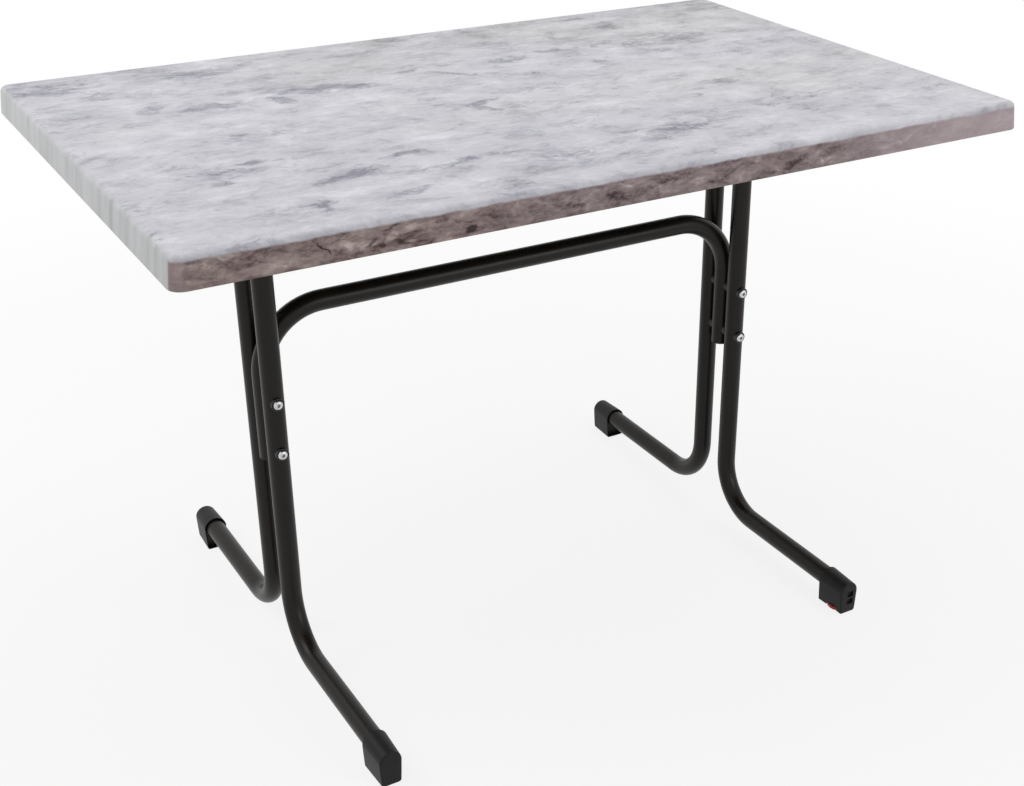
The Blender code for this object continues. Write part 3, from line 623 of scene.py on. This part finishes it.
def metal_material(name, dark, light, roughness, shaded_sockets=False):
    """Plated metal with fine turning marks and small stains, and, if asked, painted shade inside
    the bolts' drive sockets.
    """
    nodes = Nodes(name, metallic=1.0)
    marks = nodes.noise(nodes.place, (300, 4200, 300), 3, 0.6)["Fac"]
    stain = nodes.noise(nodes.place, (420, 420, 420), 4, 0.6)["Fac"]
    colour = nodes.ramp(stain, ((0.3, dark), (0.7, light)))
    if shaded_sockets:
        # Painted shade: the insides of the bolts' drive sockets are coloured darker
        colour = nodes.mix(socket_shade_share(nodes), colour, linear(128, 125, 120))
    nodes.shade("Base Color", colour)
    nodes.shade("Roughness",
                nodes.remap(stain, 0.3, 0.7, roughness + 0.08, roughness - 0.05, "LINEAR"))
    nodes.bump(marks, 0.00003, 0.4)
    return nodes.material


def socket_shade_share(nodes):
    """1 inside the drive sockets of the bolts' heads, where painted shade darkens the colour, else
    0.
    """
    x, y, z = nodes.split(nodes.place)[:3]
    low, high = BOLT_HEIGHTS.values()
    across = nodes.math("SUBTRACT", nodes.math("ABSOLUTE", x), LEG_X)
    up = nodes.math("ABSOLUTE", nodes.math("SUBTRACT", z, (low + high) / 2))
    up = nodes.math("SUBTRACT", up, (high - low) / 2)
    away = nodes.vector("LENGTH", nodes.combine(across, up, 0.0))
    face = -(HEAD_SEAT + BOLT_HEAD_HEIGHT)
    near_axis = nodes.math("LESS_THAN", away, BOLT_SOCKET_WIDTH / 2 + SOFT_EDGE)
    below_face = nodes.math("GREATER_THAN", y, face + SMALL_EDGE)
    return nodes.math("MULTIPLY", near_axis, below_face)


def add_object(name, data):
    """Put a new object in the scene."""
    made = bpy.data.objects.new(name, data)
    bpy.context.scene.collection.objects.link(made)
    return made


def add_mesh(name, work):
    """Turn a bmesh into a mesh and free it."""
    mesh = bpy.data.meshes.new(name)
    work.to_mesh(mesh)
    work.free()
    return mesh


def loft(loops, ring=False):
    """Skin a row of point loops of equal length into one closed mesh."""
    work = bmesh.new()
    rows = [[work.verts.new(point) for point in loop] for loop in loops]
    pairs = list(zip(rows, rows[1:]))
    if ring:
        pairs.append((rows[-1], rows[0]))
    for lower, upper in pairs:
        count = len(lower)
        for i in range(count):
            j = (i + 1) % count
            work.faces.new((lower[i], lower[j], upper[j], upper[i]))
    if not ring:
        work.faces.new(list(reversed(rows[0])))
        work.faces.new(rows[-1])
    bmesh.ops.recalc_face_normals(work, faces=work.faces)
    return work


def make_piece(name, work, material, node, body="table", move=None):
    """Turn a bmesh into a smooth-shaded piece that replaces one CAD node."""
    if move is not None:
        bmesh.ops.transform(work, matrix=move, verts=work.verts)
    mesh = add_mesh(name, work)
    mesh.materials.append(material)
    mesh.shade_smooth()
    mesh.set_sharp_from_angle(angle=SMOOTH_ANGLE)
    piece = add_object(name, mesh)
    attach(piece, body)
    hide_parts(node)
    return piece


def corners():
    """The name, the side and the end of each of the four legs."""
    for end_name, end in ENDS.items():
        for side_name, side in SIDES.items():
            yield end_name + "_" + side_name + "_", side, end


def turns(sides=ROUND):
    """Angles at even steps of a full turn."""
    return [2 * math.pi * i / sides for i in range(sides)]


def quarter(steps):
    """Cosine and sine at even steps of a quarter turn."""
    angles = [math.pi / 2 * step / steps for step in range(steps + 1)]
    return [(math.cos(angle), math.sin(angle)) for angle in angles]


def circle(radius, height, sides=ROUND):
    return shaped(lambda angle: radius, height, sides)


def shaped(radius_at, height, sides=ROUND):
    """A loop whose radius depends on its angle."""
    return [Vector((radius_at(angle) * math.cos(angle), radius_at(angle) * math.sin(angle),
                    height)) for angle in turns(sides)]


def hexagon_radius(width):
    def radius_at(angle):
        from_flat = (angle % (math.pi / 3)) - math.pi / 6
        return width / 2 / math.cos(from_flat)
    return radius_at


def arc(centre, radius, start, end):
    """Points and unit tangents along an arc in a plane, both ends included."""
    found = []
    turn = 1 if end > start else -1
    for i in range(BEND_STEPS + 1):
        angle = start + (end - start) * i / BEND_STEPS
        point = (centre[0] + radius * math.cos(angle), centre[1] + radius * math.sin(angle))
        found.append((point, (-turn * math.sin(angle), turn * math.cos(angle))))
    return found


def swept_tube(path, lift):
    """Sweep a hollow round tube with softened ends along a plane path."""
    inner, outer, soft = TUBE_RADIUS - TUBE_WALL, TUBE_RADIUS, SOFT_EDGE

    def skin(radius, entry, slide=0.0):
        (across, up), (run_across, run_up) = entry
        across += run_across * slide
        up += run_up * slide
        loop = []
        for angle in turns():
            side = radius * math.cos(angle)
            loop.append(lift(across - run_up * side, up + run_across * side,
                             radius * math.sin(angle)))
        return loop

    first, *bends, last = path
    loops = [skin(inner + soft, first), skin(outer - soft, first), skin(outer, first, soft)]
    loops += [skin(outer, entry) for entry in bends]
    loops += [skin(outer, last, -soft), skin(outer - soft, last)]
    loops += [skin(inner + soft, last), skin(inner, last, -soft)]
    loops += [skin(inner, entry) for entry in reversed(bends)]
    loops.append(skin(inner, first, soft))
    return loft(loops, ring=True)


def add_frame(material):
    radius = LEG_BEND_RADIUS
    start = FOOT_REACH - CAP_LENGTH + CAP_SOCKET_DEPTH - FIT_GAP
    path = [((start, FOOT_AXIS_HEIGHT), (-1, 0))]
    path += arc((LEG_Y + radius, FOOT_AXIS_HEIGHT + radius), radius, -math.pi / 2, -math.pi)
    path += arc((LEG_Y + radius, ARM_HEIGHT - radius), radius, -math.pi, -1.5 * math.pi)
    path.append(((ARM_REACH, ARM_HEIGHT), (1, 0)))
    for prefix, side, end in corners():
        def lift(across, up, offset):
            return Vector((side * LEG_X + offset, end * across, up))
        make_piece(prefix + "leg_tube", swept_tube(path, lift), material, prefix + "leg")

    radius = CROSSBAR_BEND_RADIUS
    bottom = CROSSBAR_HEIGHT - CROSSBAR_DROP
    path = [((-LEG_X, bottom), (0, 1))]
    path += arc((-LEG_X + radius, CROSSBAR_HEIGHT - radius), radius, math.pi, math.pi / 2)
    path += arc((LEG_X - radius, CROSSBAR_HEIGHT - radius), radius, math.pi / 2, 0)
    path.append(((LEG_X, bottom), (0, -1)))

    def lift(across, up, offset):
        return Vector((across, offset, up))

    make_piece("crossbar_tube", swept_tube(path, lift), material, "crossbar")


def plan_loop(inset, corner_radius, height):
    """A rounded rectangle, set in from the outline of the top."""
    half_x = TOP_LENGTH / 2 - inset - corner_radius
    half_y = TOP_DEPTH / 2 - inset - corner_radius
    loop = []
    for turn, (sign_x, sign_y) in enumerate(((1, 1), (-1, 1), (-1, -1), (1, -1))):
        for step in range(CORNER_STEPS + 1):
            angle = (turn + step / CORNER_STEPS) * math.pi / 2
            loop.append(Vector((sign_x * half_x + corner_radius * math.cos(angle),
                                sign_y * half_y + corner_radius * math.sin(angle), height)))
    return loop


def add_tabletop(material):
    """The moulded top: rounded edges, sides that spread downwards and a recessed underside."""
    bottom = TOP_HEIGHT - EDGE_THICKNESS
    ceiling = bottom + RECESS_DEPTH
    loops = []
    for cosine, sine in quarter(10):
        inset = EDGE_DRAFT + UPPER_EDGE_ROUNDING * (1 - sine)
        height = TOP_HEIGHT - UPPER_EDGE_ROUNDING * (1 - cosine)
        loops.append(plan_loop(inset, PLAN_CORNER_RADIUS - inset, height))
    for cosine, sine in quarter(10):
        inset = LOWER_EDGE_ROUNDING * (1 - cosine)
        height = bottom + LOWER_EDGE_ROUNDING * (1 - sine)
        loops.append(plan_loop(inset, PLAN_CORNER_RADIUS - inset, height))

    # The recess, with both its edges rounded
    soft = RECESS_ROUNDING
    lean = RECESS_SLOPE * soft / RECESS_DEPTH
    for share in (1.0, 0.55, 0.2, 0.0):
        inset = RIM_WIDTH - soft * share + lean * (1 - share)
        height = bottom + soft * (1 - share) ** 2
        loops.append(plan_loop(inset, RECESS_CORNER_RADIUS, height))
    for share in (0.0, 0.2, 0.55, 1.0):
        inset = RIM_WIDTH + RECESS_SLOPE + soft * share - lean * (1 - share)
        height = ceiling - soft * (1 - share) ** 2
        loops.append(plan_loop(inset, RECESS_CORNER_RADIUS, height))
    make_piece("board", loft(loops), material, "tabletop")


def saddle(radius, angle):
    """How far a point of a round pad drops where the pad wraps round the upright tube."""
    across = radius * math.cos(angle)
    seat = TUBE_RADIUS + FIT_GAP
    return seat - math.sqrt(seat ** 2 - across ** 2)


def saddle_loop(radius, base, sign=1):
    """A loop that follows the tube. Its local X lies across the tube."""
    return [Vector((radius * math.cos(angle), radius * math.sin(angle),
                    base - sign * saddle(radius, angle))) for angle in turns()]


def bolt_work():
    """A domed head with a hexagon socket. Its seat is at zero and its shank runs to +Z."""
    length = HEAD_SEAT + BOLT_END
    drive = hexagon_radius(BOLT_SOCKET_WIDTH)
    bottom = BOLT_SOCKET_DEPTH - BOLT_HEAD_HEIGHT
    loops = [circle(SOCKET_CENTRE_RADIUS, bottom + SOCKET_CENTRE_DEPTH), shaped(drive, bottom),
             shaped(drive, FINE_EDGE - BOLT_HEAD_HEIGHT),
             shaped(hexagon_radius(BOLT_SOCKET_WIDTH + 2 * FINE_EDGE), -BOLT_HEAD_HEIGHT)]
    for cosine, sine in quarter(12):
        radius = BOLT_CROWN_RADIUS + (BOLT_HEAD_RADIUS - BOLT_CROWN_RADIUS) * sine
        height = -BOLT_HEAD_RIM - (BOLT_HEAD_HEIGHT - BOLT_HEAD_RIM) * cosine
        loops.append(circle(radius, height))
    loops += [circle(BOLT_HEAD_RADIUS, -FINE_EDGE), circle(BOLT_HEAD_RADIUS - FINE_EDGE, 0),
              circle(BOLT_RADIUS, 0), circle(BOLT_RADIUS, length - BOLT_END_CHAMFER),
              circle(BOLT_RADIUS - BOLT_END_CHAMFER, length)]
    return loft(loops)


def sleeve_nut_work():
    """A thin head with a drive socket, hollowed to the tube, and a blind sleeve inside it."""
    bore = BOLT_RADIUS + FIT_GAP
    head = SLEEVE_HEAD_RADIUS
    drive = hexagon_radius(BOLT_SOCKET_WIDTH)
    loops = [circle(SOCKET_CENTRE_RADIUS, SLEEVE_TOP - BOLT_SOCKET_DEPTH),
             shaped(drive, SLEEVE_TOP - SLEEVE_SOCKET_DEPTH),
             shaped(drive, SLEEVE_TOP - FINE_EDGE),
             shaped(hexagon_radius(BOLT_SOCKET_WIDTH + 2 * FINE_EDGE), SLEEVE_TOP)]
    inward, down = SLEEVE_HEAD_ROUNDING
    for cosine, sine in quarter(4):
        loops.append(circle(head - inward * (1 - sine), SLEEVE_TOP - down * (1 - cosine)))
    loops += [saddle_loop(head, FIT_GAP + FINE_EDGE), saddle_loop(head - FINE_EDGE, FIT_GAP),
              saddle_loop(SLEEVE_RADIUS, FIT_GAP),
              circle(SLEEVE_RADIUS, -SLEEVE_LENGTH + SOFT_EDGE),
              circle(SLEEVE_RADIUS - SOFT_EDGE, -SLEEVE_LENGTH),
              circle(bore, -SLEEVE_LENGTH), circle(bore, SLEEVE_BORE_END)]
    return loft(loops)


def dished_washer_work():
    """A dark washer with a raised rim round the bolt's head. Zero is the tube's crown."""
    hole = BOLT_RADIUS + FIT_GAP
    high = FIT_GAP + WASHER_THICKNESS
    floor = high - WASHER_DISH_DEPTH
    rim = WASHER_RADIUS - WASHER_RIM
    soft = SOFT_EDGE
    loops = [saddle_loop(hole, FIT_GAP), saddle_loop(WASHER_RADIUS - FINE_EDGE, FIT_GAP),
             saddle_loop(WASHER_RADIUS, FIT_GAP + SMALL_EDGE)]
    for cosine, sine in quarter(4):
        loops.append(circle(WASHER_RADIUS - soft * (1 - cosine), high - soft * (1 - sine)))
    for cosine, sine in quarter(4):
        loops.append(circle(rim + soft * (1 - sine), high - soft * (1 - cosine)))
    loops += [circle(rim - soft, floor), circle(hole, floor)]
    return loft(loops, ring=True)


def spacer_work():
    """A spacer hollowed to the tubes on both sides. Its local X lies across the tubes."""
    half = TUBE_SPACE / 2 - FIT_GAP
    high = [saddle_loop(radius, half, -1) for radius in (SPACER_RADIUS, BOLT_RADIUS + FIT_GAP)]
    low = [[Vector((p.x, p.y, -p.z)) for p in loop] for loop in reversed(high)]
    return loft(low + high, ring=True)


def screw_work():
    """A pan-head screw with a six-lobed recess. Its seat is at zero."""
    length = 2 * (TUBE_RADIUS + FIT_GAP) + SCREW_BITE

    def lobes(size):
        return lambda angle: size * (1 + SCREW_RECESS_LOBE * math.cos(6 * angle))

    recess = SCREW_RECESS_DEPTH - SCREW_HEAD_HEIGHT
    loops = [shaped(lobes(SCREW_RECESS_FLOOR_RADIUS), recess),
             shaped(lobes(SCREW_RECESS_RADIUS), recess),
             shaped(lobes(SCREW_RECESS_RADIUS + SCREW_RECESS_EDGE),
                    SCREW_RECESS_EDGE - SCREW_HEAD_HEIGHT)]
    for cosine, sine in quarter(10):
        radius = SCREW_HEAD_RADIUS - SCREW_HEAD_ROUNDING * (1 - sine)
        height = -SCREW_HEAD_RIM - (SCREW_HEAD_HEIGHT - SCREW_HEAD_RIM) * cosine
        loops.append(circle(radius, height))
    loops += [circle(SCREW_HEAD_RADIUS, -FINE_EDGE), circle(SCREW_HEAD_RADIUS - FINE_EDGE, 0),
              circle(SCREW_RADIUS, 0), circle(SCREW_RADIUS, length - SCREW_POINT_LENGTH),
              circle(SCREW_POINT_RADIUS, length)]
    return loft(loops)


def plug_work():
    """An end plug. Its flange sits on the tube's end at zero and its stem runs to -Z."""
    bore = TUBE_RADIUS - TUBE_WALL - FIT_GAP
    loops = [circle(bore - PLUG_EDGE, -PLUG_STEM), circle(bore, PLUG_LEAD - PLUG_STEM),
             circle(bore, FIT_GAP), circle(TUBE_RADIUS - SMALL_EDGE, FIT_GAP),
             circle(TUBE_RADIUS, FIT_GAP + SMALL_EDGE)]
    for cosine, sine in quarter(6):
        loops.append(circle(TUBE_RADIUS - PLUG_EDGE * (1 - cosine),
                            PLUG_FLANGE - PLUG_EDGE * (1 - sine)))
    return loft(loops)


def add_fasteners(bolt_zinc_socket_shade, zinc, dark, spacer_plastic):
    to_front = Matrix.Rotation(math.pi / 2, 4, "X")
    to_rear = Matrix.Rotation(-math.pi / 2, 4, "X")
    middle = TUBE_RADIUS + TUBE_SPACE / 2
    for side_name, side in SIDES.items():
        for level, height in BOLT_HEIGHTS.items():
            prefix = side_name + "_" + level + "_"

            def spot(across, turn):
                return Matrix.Translation((side * LEG_X, across, height)) @ turn

            make_piece(prefix + "domed_bolt", bolt_work(), bolt_zinc_socket_shade, prefix + "bolt",
                       move=spot(-HEAD_SEAT, to_rear))
            make_piece(prefix + "cup_washer", dished_washer_work(), dark,
                       prefix + "dished_washer", move=spot(-TUBE_CROWN, to_front))
            make_piece(prefix + "blind_nut", sleeve_nut_work(), zinc, prefix + "sleeve_nut",
                       move=spot(TUBE_CROWN, to_rear))
            for end_name, end in ENDS.items():
                node = prefix + end_name + "_spacer"
                make_piece(node + "_ring", spacer_work(), spacer_plastic, node,
                           move=spot(end * middle, to_rear))
    seat = ARM_HEIGHT - TUBE_RADIUS - FIT_GAP
    for prefix, side, end in corners():
        for row, reach in SCREW_REACHES.items():
            node = prefix + row + "_screw"
            make_piece(node + "_pan_head", screw_work(), zinc, node,
                       move=Matrix.Translation((side * LEG_X, end * reach, seat)))


def cap_section(half_width, sole, reach):
    """The arch of a foot cap: a round top, flanks that lean in and a flat sole."""
    corner = CAP_SOLE_ROUNDING
    half_sole = half_width - CAP_FLANK_DRAFT
    flank = ((half_width + half_sole) / 2, (FOOT_AXIS_HEIGHT + sole) / 2)

    def sole_corner(sign, start):
        found = []
        for step in range(CAP_CORNER_STEPS + 1):
            angle = start + math.pi / 2 * step / CAP_CORNER_STEPS
            found.append((sign * (half_sole - corner) + corner * math.cos(angle),
                          sole + corner + corner * math.sin(angle)))
        return found

    outline = []
    for step in range(CAP_ARCH_STEPS + 1):
        angle = math.pi * step / CAP_ARCH_STEPS
        outline.append((half_width * math.cos(angle),
                        FOOT_AXIS_HEIGHT + half_width * math.sin(angle)))
    outline.append((-flank[0], flank[1]))
    outline += sole_corner(-1, math.pi) + [(0, sole)] + sole_corner(1, 1.5 * math.pi)
    outline.append(flank)
    return [Vector((across, reach, up)) for across, up in outline]


def cap_bore(radius, reach, sides):
    return [Vector((radius * math.cos(angle), reach, FOOT_AXIS_HEIGHT + radius * math.sin(angle)))
            for angle in turns(sides)]


def cap_work():
    """A foot cap for a tube that points to +Y, with its mouth towards -Y."""
    mouth_width = TUBE_RADIUS + CAP_MOUTH_GAP + CAP_LIP
    end_width = mouth_width - CAP_TAPER
    mouth = FOOT_REACH - CAP_LENGTH
    hollow_end = mouth + CAP_MOUTH_DEPTH
    soft = SOFT_EDGE
    loops = []
    for cosine, sine in quarter(8):
        inset = CAP_ROUNDING * (1 - sine)
        reach = FOOT_REACH - CAP_ROUNDING * (1 - cosine)
        loops.append(cap_section(end_width - inset, inset, reach))
    for inset, reach in ((0, mouth + soft), (soft, mouth), (CAP_LIP - soft, mouth),
                         (CAP_LIP, mouth + soft), (CAP_LIP, hollow_end)):
        loops.append(cap_section(mouth_width - inset, inset, reach))
    for reach in (hollow_end, mouth + CAP_SOCKET_DEPTH):
        loops.append(cap_bore(TUBE_RADIUS + FIT_GAP, reach, len(loops[0])))
    return loft(loops)


def cut(piece, work, name):
    """Cut a shape out of a piece, and leave no modifier and no cutter behind."""
    cutter = add_object(name, add_mesh(name, work))
    modifier = piece.modifiers.new(name, "BOOLEAN")
    modifier.operation = "DIFFERENCE"
    modifier.solver = "EXACT"
    modifier.object = cutter
    bpy.context.view_layer.update()
    graph = bpy.context.evaluated_depsgraph_get()
    made = bpy.data.meshes.new_from_object(piece.evaluated_get(graph))
    piece.modifiers.clear()
    old = piece.data
    piece.data = made
    bpy.data.meshes.remove(old)
    bpy.data.objects.remove(cutter, do_unlink=True)
    made.shade_smooth()
    made.set_sharp_from_angle(angle=SMOOTH_ANGLE)


def box_work(centre, size):
    work = bmesh.new()
    matrix = Matrix.Translation(centre) @ Matrix.Diagonal((*size, 1.0))
    bmesh.ops.create_cube(work, size=1.0, matrix=matrix)
    bmesh.ops.bevel(work, geom=work.edges[:], offset=CAP_SLOT_ROUNDING, segments=3,
                    affect="EDGES", profile=0.5)
    return work


def add_foot_caps(material):
    for prefix, side, end in corners():
        turn = 0 if end > 0 else math.pi
        node = prefix + "foot_cap"
        move = Matrix.Translation((side * LEG_X, 0, 0)) @ Matrix.Rotation(turn, 4, "Z")
        cap = make_piece(node + "_shell", cap_work(), material, node, move=move)
        if node == "front_right_foot_cap":
            cut_levelling_cap(cap)


def cut_levelling_cap(cap):
    """The wheel's pocket, the insert's hole and the two slots in the end face."""
    radius = WHEEL_RADIUS + POCKET_GAP
    pocket = loft([circle(radius, height, 2 * ROUND)
                   for height in (-CUTTER_OVERRUN, POCKET_CEILING)])
    hole = loft([circle(INSERT_HOLE_RADIUS, POCKET_CEILING - CUTTER_OVERRUN / 2),
                 circle(INSERT_HOLE_RADIUS, POCKET_CEILING + INSERT_HOLE_DEPTH)])
    for work, name in ((pocket, "pocket_cutter"), (hole, "insert_cutter")):
        bmesh.ops.translate(work, vec=(LEG_X, WHEEL_Y, 0), verts=work.verts)
        cut(cap, work, name)
    width, tall, deep = CAP_SLOT
    for height in CAP_SLOT_HEIGHTS:
        centre = (LEG_X + CAP_SLOT_OFFSET, -FOOT_REACH, height)
        cut(cap, box_work(centre, (width, 2 * deep, tall)), "slot_cutter")


def add_plugs(material):
    for prefix, side, end in corners():
        node = prefix + "arm_plug"
        move = (Matrix.Translation((side * LEG_X, end * ARM_REACH, ARM_HEIGHT))
                @ Matrix.Rotation(-end * math.pi / 2, 4, "X"))
        make_piece(node + "_stopper", plug_work(), material, node, move=move)


def add_levelling_glide(red, plastic, brass):
    """The thumb wheel with its stem, the pad that it stands on and the insert that it turns in."""
    def teeth(radius):
        return lambda angle: (radius - WHEEL_TOOTH_DEPTH
                              * abs(math.sin(WHEEL_TEETH * angle / 2)) ** WHEEL_TOOTH_POWER)

    top = WHEEL_THICKNESS
    stem_end = top + STEM_LENGTH
    hole = PAD_SPIGOT_RADIUS + FIT_GAP
    sides = WHEEL_TEETH * 8
    loops = [circle(hole, PAD_SPIGOT_LENGTH + FIT_GAP, sides), circle(hole, 0, sides),
             circle(WHEEL_RADIUS - WHEEL_FACE_INSET, 0, sides),
             shaped(teeth(WHEEL_RADIUS - SOFT_EDGE), SMALL_EDGE, sides),
             shaped(teeth(WHEEL_RADIUS), WHEEL_CHAMFER, sides),
             shaped(teeth(WHEEL_RADIUS), top - WHEEL_CHAMFER, sides),
             shaped(teeth(WHEEL_RADIUS - SOFT_EDGE), top - SMALL_EDGE, sides),
             circle(WHEEL_RADIUS - WHEEL_FACE_INSET, top, sides),
             circle(STEM_RADIUS, top, sides),
             circle(STEM_RADIUS, stem_end - STEM_CHAMFER, sides),
             circle(STEM_RADIUS - STEM_CHAMFER, stem_end, sides)]
    move = Matrix.Translation((LEG_X, WHEEL_Y, WHEEL_BOTTOM))
    make_piece("thumb_wheel_disc", loft(loops), red, "levelling_wheel",
               body="thumb_wheel", move=move)
    loops = [circle(PAD_RADIUS - PAD_CHAMFER * (1 - sine), PAD_CHAMFER * (1 - cosine))
             for cosine, sine in quarter(5)]
    loops += [circle(PAD_RADIUS, PAD_THICKNESS), circle(PAD_SPIGOT_RADIUS, PAD_THICKNESS),
              circle(PAD_SPIGOT_RADIUS, PAD_THICKNESS + FIT_GAP + PAD_SPIGOT_LENGTH)]
    move = Matrix.Translation((LEG_X, WHEEL_Y, FIT_GAP))
    make_piece("glide_disc", loft(loops), plastic, "levelling_pad",
               body="glide_pad", move=move)
    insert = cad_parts["levelling_insert"].data
    insert.materials.clear()
    insert.materials.append(brass)


def background_share(tree):
    """1 for the rays that show the background: those of the camera, of gloss and through glass."""
    path = tree.nodes.new("ShaderNodeLightPath")
    share = path.outputs["Is Camera Ray"]
    for ray in ("Is Glossy Ray", "Is Transmission Ray"):
        both = tree.nodes.new("ShaderNodeMath")
        both.operation = "ADD"
        both.use_clamp = True
        tree.links.new(share, both.inputs[0])
        tree.links.new(path.outputs[ray], both.inputs[1])
        share = both.outputs[0]
    return share


def add_studio():
    """A pale floor that keeps the shadow, a white surround and soft lamps."""
    work = bmesh.new()
    bmesh.ops.create_circle(work, cap_ends=True, segments=64, radius=FLOOR_RADIUS)
    floor = add_object("floor", add_mesh("floor", work))
    nodes = Nodes("floor_paper")
    nodes.shade("Base Color", (FLOOR_GREY, FLOOR_GREY, FLOOR_GREY, 1))
    nodes.shade("Roughness", 0.9)
    nodes.shade("Specular IOR Level", 0.0)
    glow = nodes.add("ShaderNodeEmission")
    blend = nodes.add("ShaderNodeMixShader")
    fade = nodes.remap(nodes.vector("LENGTH", nodes.place), *FLOOR_FADE)
    share = nodes.math("MULTIPLY", background_share(nodes.tree), fade)
    nodes.feed_all(blend, (share, nodes.shader.outputs["BSDF"], glow.outputs["Emission"]))
    nodes.feed(nodes.surface, blend.outputs[0])
    floor.data.materials.append(nodes.material)

    world = bpy.data.worlds.new("studio")
    bpy.context.scene.world = world
    world.use_nodes = True
    tree = world.node_tree
    ambient = tree.nodes["Background"]
    ambient.inputs["Color"].default_value = (1, 1, 1, 1)
    ambient.inputs["Strength"].default_value = AMBIENT_STRENGTH
    white = tree.nodes.new("ShaderNodeBackground")
    white.inputs["Color"].default_value = (1, 1, 1, 1)
    white.inputs["Strength"].default_value = 1.0
    blend = tree.nodes.new("ShaderNodeMixShader")
    tree.links.new(background_share(tree), blend.inputs["Fac"])
    tree.links.new(ambient.outputs[0], blend.inputs[1])
    tree.links.new(white.outputs[0], blend.inputs[2])
    tree.links.new(blend.outputs[0], tree.nodes["World Output"].inputs["Surface"])

    for name, place, size, watts in LAMPS:
        lamp = bpy.data.lights.new(name, "AREA")
        lamp.energy = watts
        lamp.shape = "DISK"
        lamp.size = size
        holder = add_object(name, lamp)
        holder.location = place
        aim = Vector(LAMP_AIM) - Vector(place)
        holder.rotation_euler = aim.to_track_quat("-Z", "Y").to_euler()


def add_camera():
    """The camera of the photograph: its place, turn and lens found from the table's edges."""
    azimuth, elevation, roll = (math.radians(v) for v in (-32.4930, 27.1729, 0.9917))
    distance = 2.2328
    target = Vector((0.1593, 0, 0.2229))
    pixels_of_focus = 1522.83
    centre_x, centre_y = 609.24, 412.78
    back = Vector((math.sin(azimuth) * math.cos(elevation),
                   -math.cos(azimuth) * math.cos(elevation), math.sin(elevation)))
    right = Vector((math.cos(azimuth), math.sin(azimuth), 0))
    up = back.cross(right)
    right, up = (math.cos(roll) * right + math.sin(roll) * up,
                 -math.sin(roll) * right + math.cos(roll) * up)
    data = bpy.data.cameras.new("camera")
    data.sensor_fit = "HORIZONTAL"
    data.sensor_width = 36
    data.lens = data.sensor_width * pixels_of_focus / IMAGE_WIDTH
    data.shift_x = (IMAGE_WIDTH / 2 - centre_x) / IMAGE_WIDTH
    data.shift_y = (centre_y - IMAGE_HEIGHT / 2) / IMAGE_WIDTH
    data.clip_start = 0.05
    data.clip_end = 50
    camera = add_object("camera", data)
    turn = Matrix((right, up, back)).transposed().to_4x4()
    camera.matrix_world = Matrix.Translation(target + distance * back) @ turn
    bpy.context.scene.camera = camera


def build_scene():
    bpy.context.scene.view_settings.view_transform = "Standard"
    add_camera()
    add_tabletop(decor_material())
    add_frame(tube_material())
    zinc_tones = (176, 177, 178), (220, 220, 219)
    zinc = metal_material("zinc_plate", *zinc_tones, 0.32)
    # The bolts' plating, with painted shade inside their drive sockets
    bolt_zinc_socket_shade = metal_material("bolt_plate_socket_shade", *zinc_tones, 0.32, shaded_sockets=True)
    # Black washers, coloured darker still as painted shade round the bolt heads
    dark = plastic_material("washer_black_and_shade", (10, 10, 10), (17, 17, 17), 0.42)
    black = plastic_material("cap_black", (17, 14, 14), (26, 23, 23), 0.48, gloss=0.22)
    spacer = plastic_material("spacer_black", (18, 18, 19), (27, 27, 28), 0.55)
    brass = metal_material("brass_turned", (186, 148, 78), (214, 178, 104), 0.3)
    red = plastic_material("wheel_red", (160, 16, 36), (190, 26, 48), 0.38)
    add_fasteners(bolt_zinc_socket_shade, zinc, dark, spacer)
    add_plugs(black)
    add_foot_caps(black)
    add_levelling_glide(red, black, brass)
    add_studio()


build_scene()
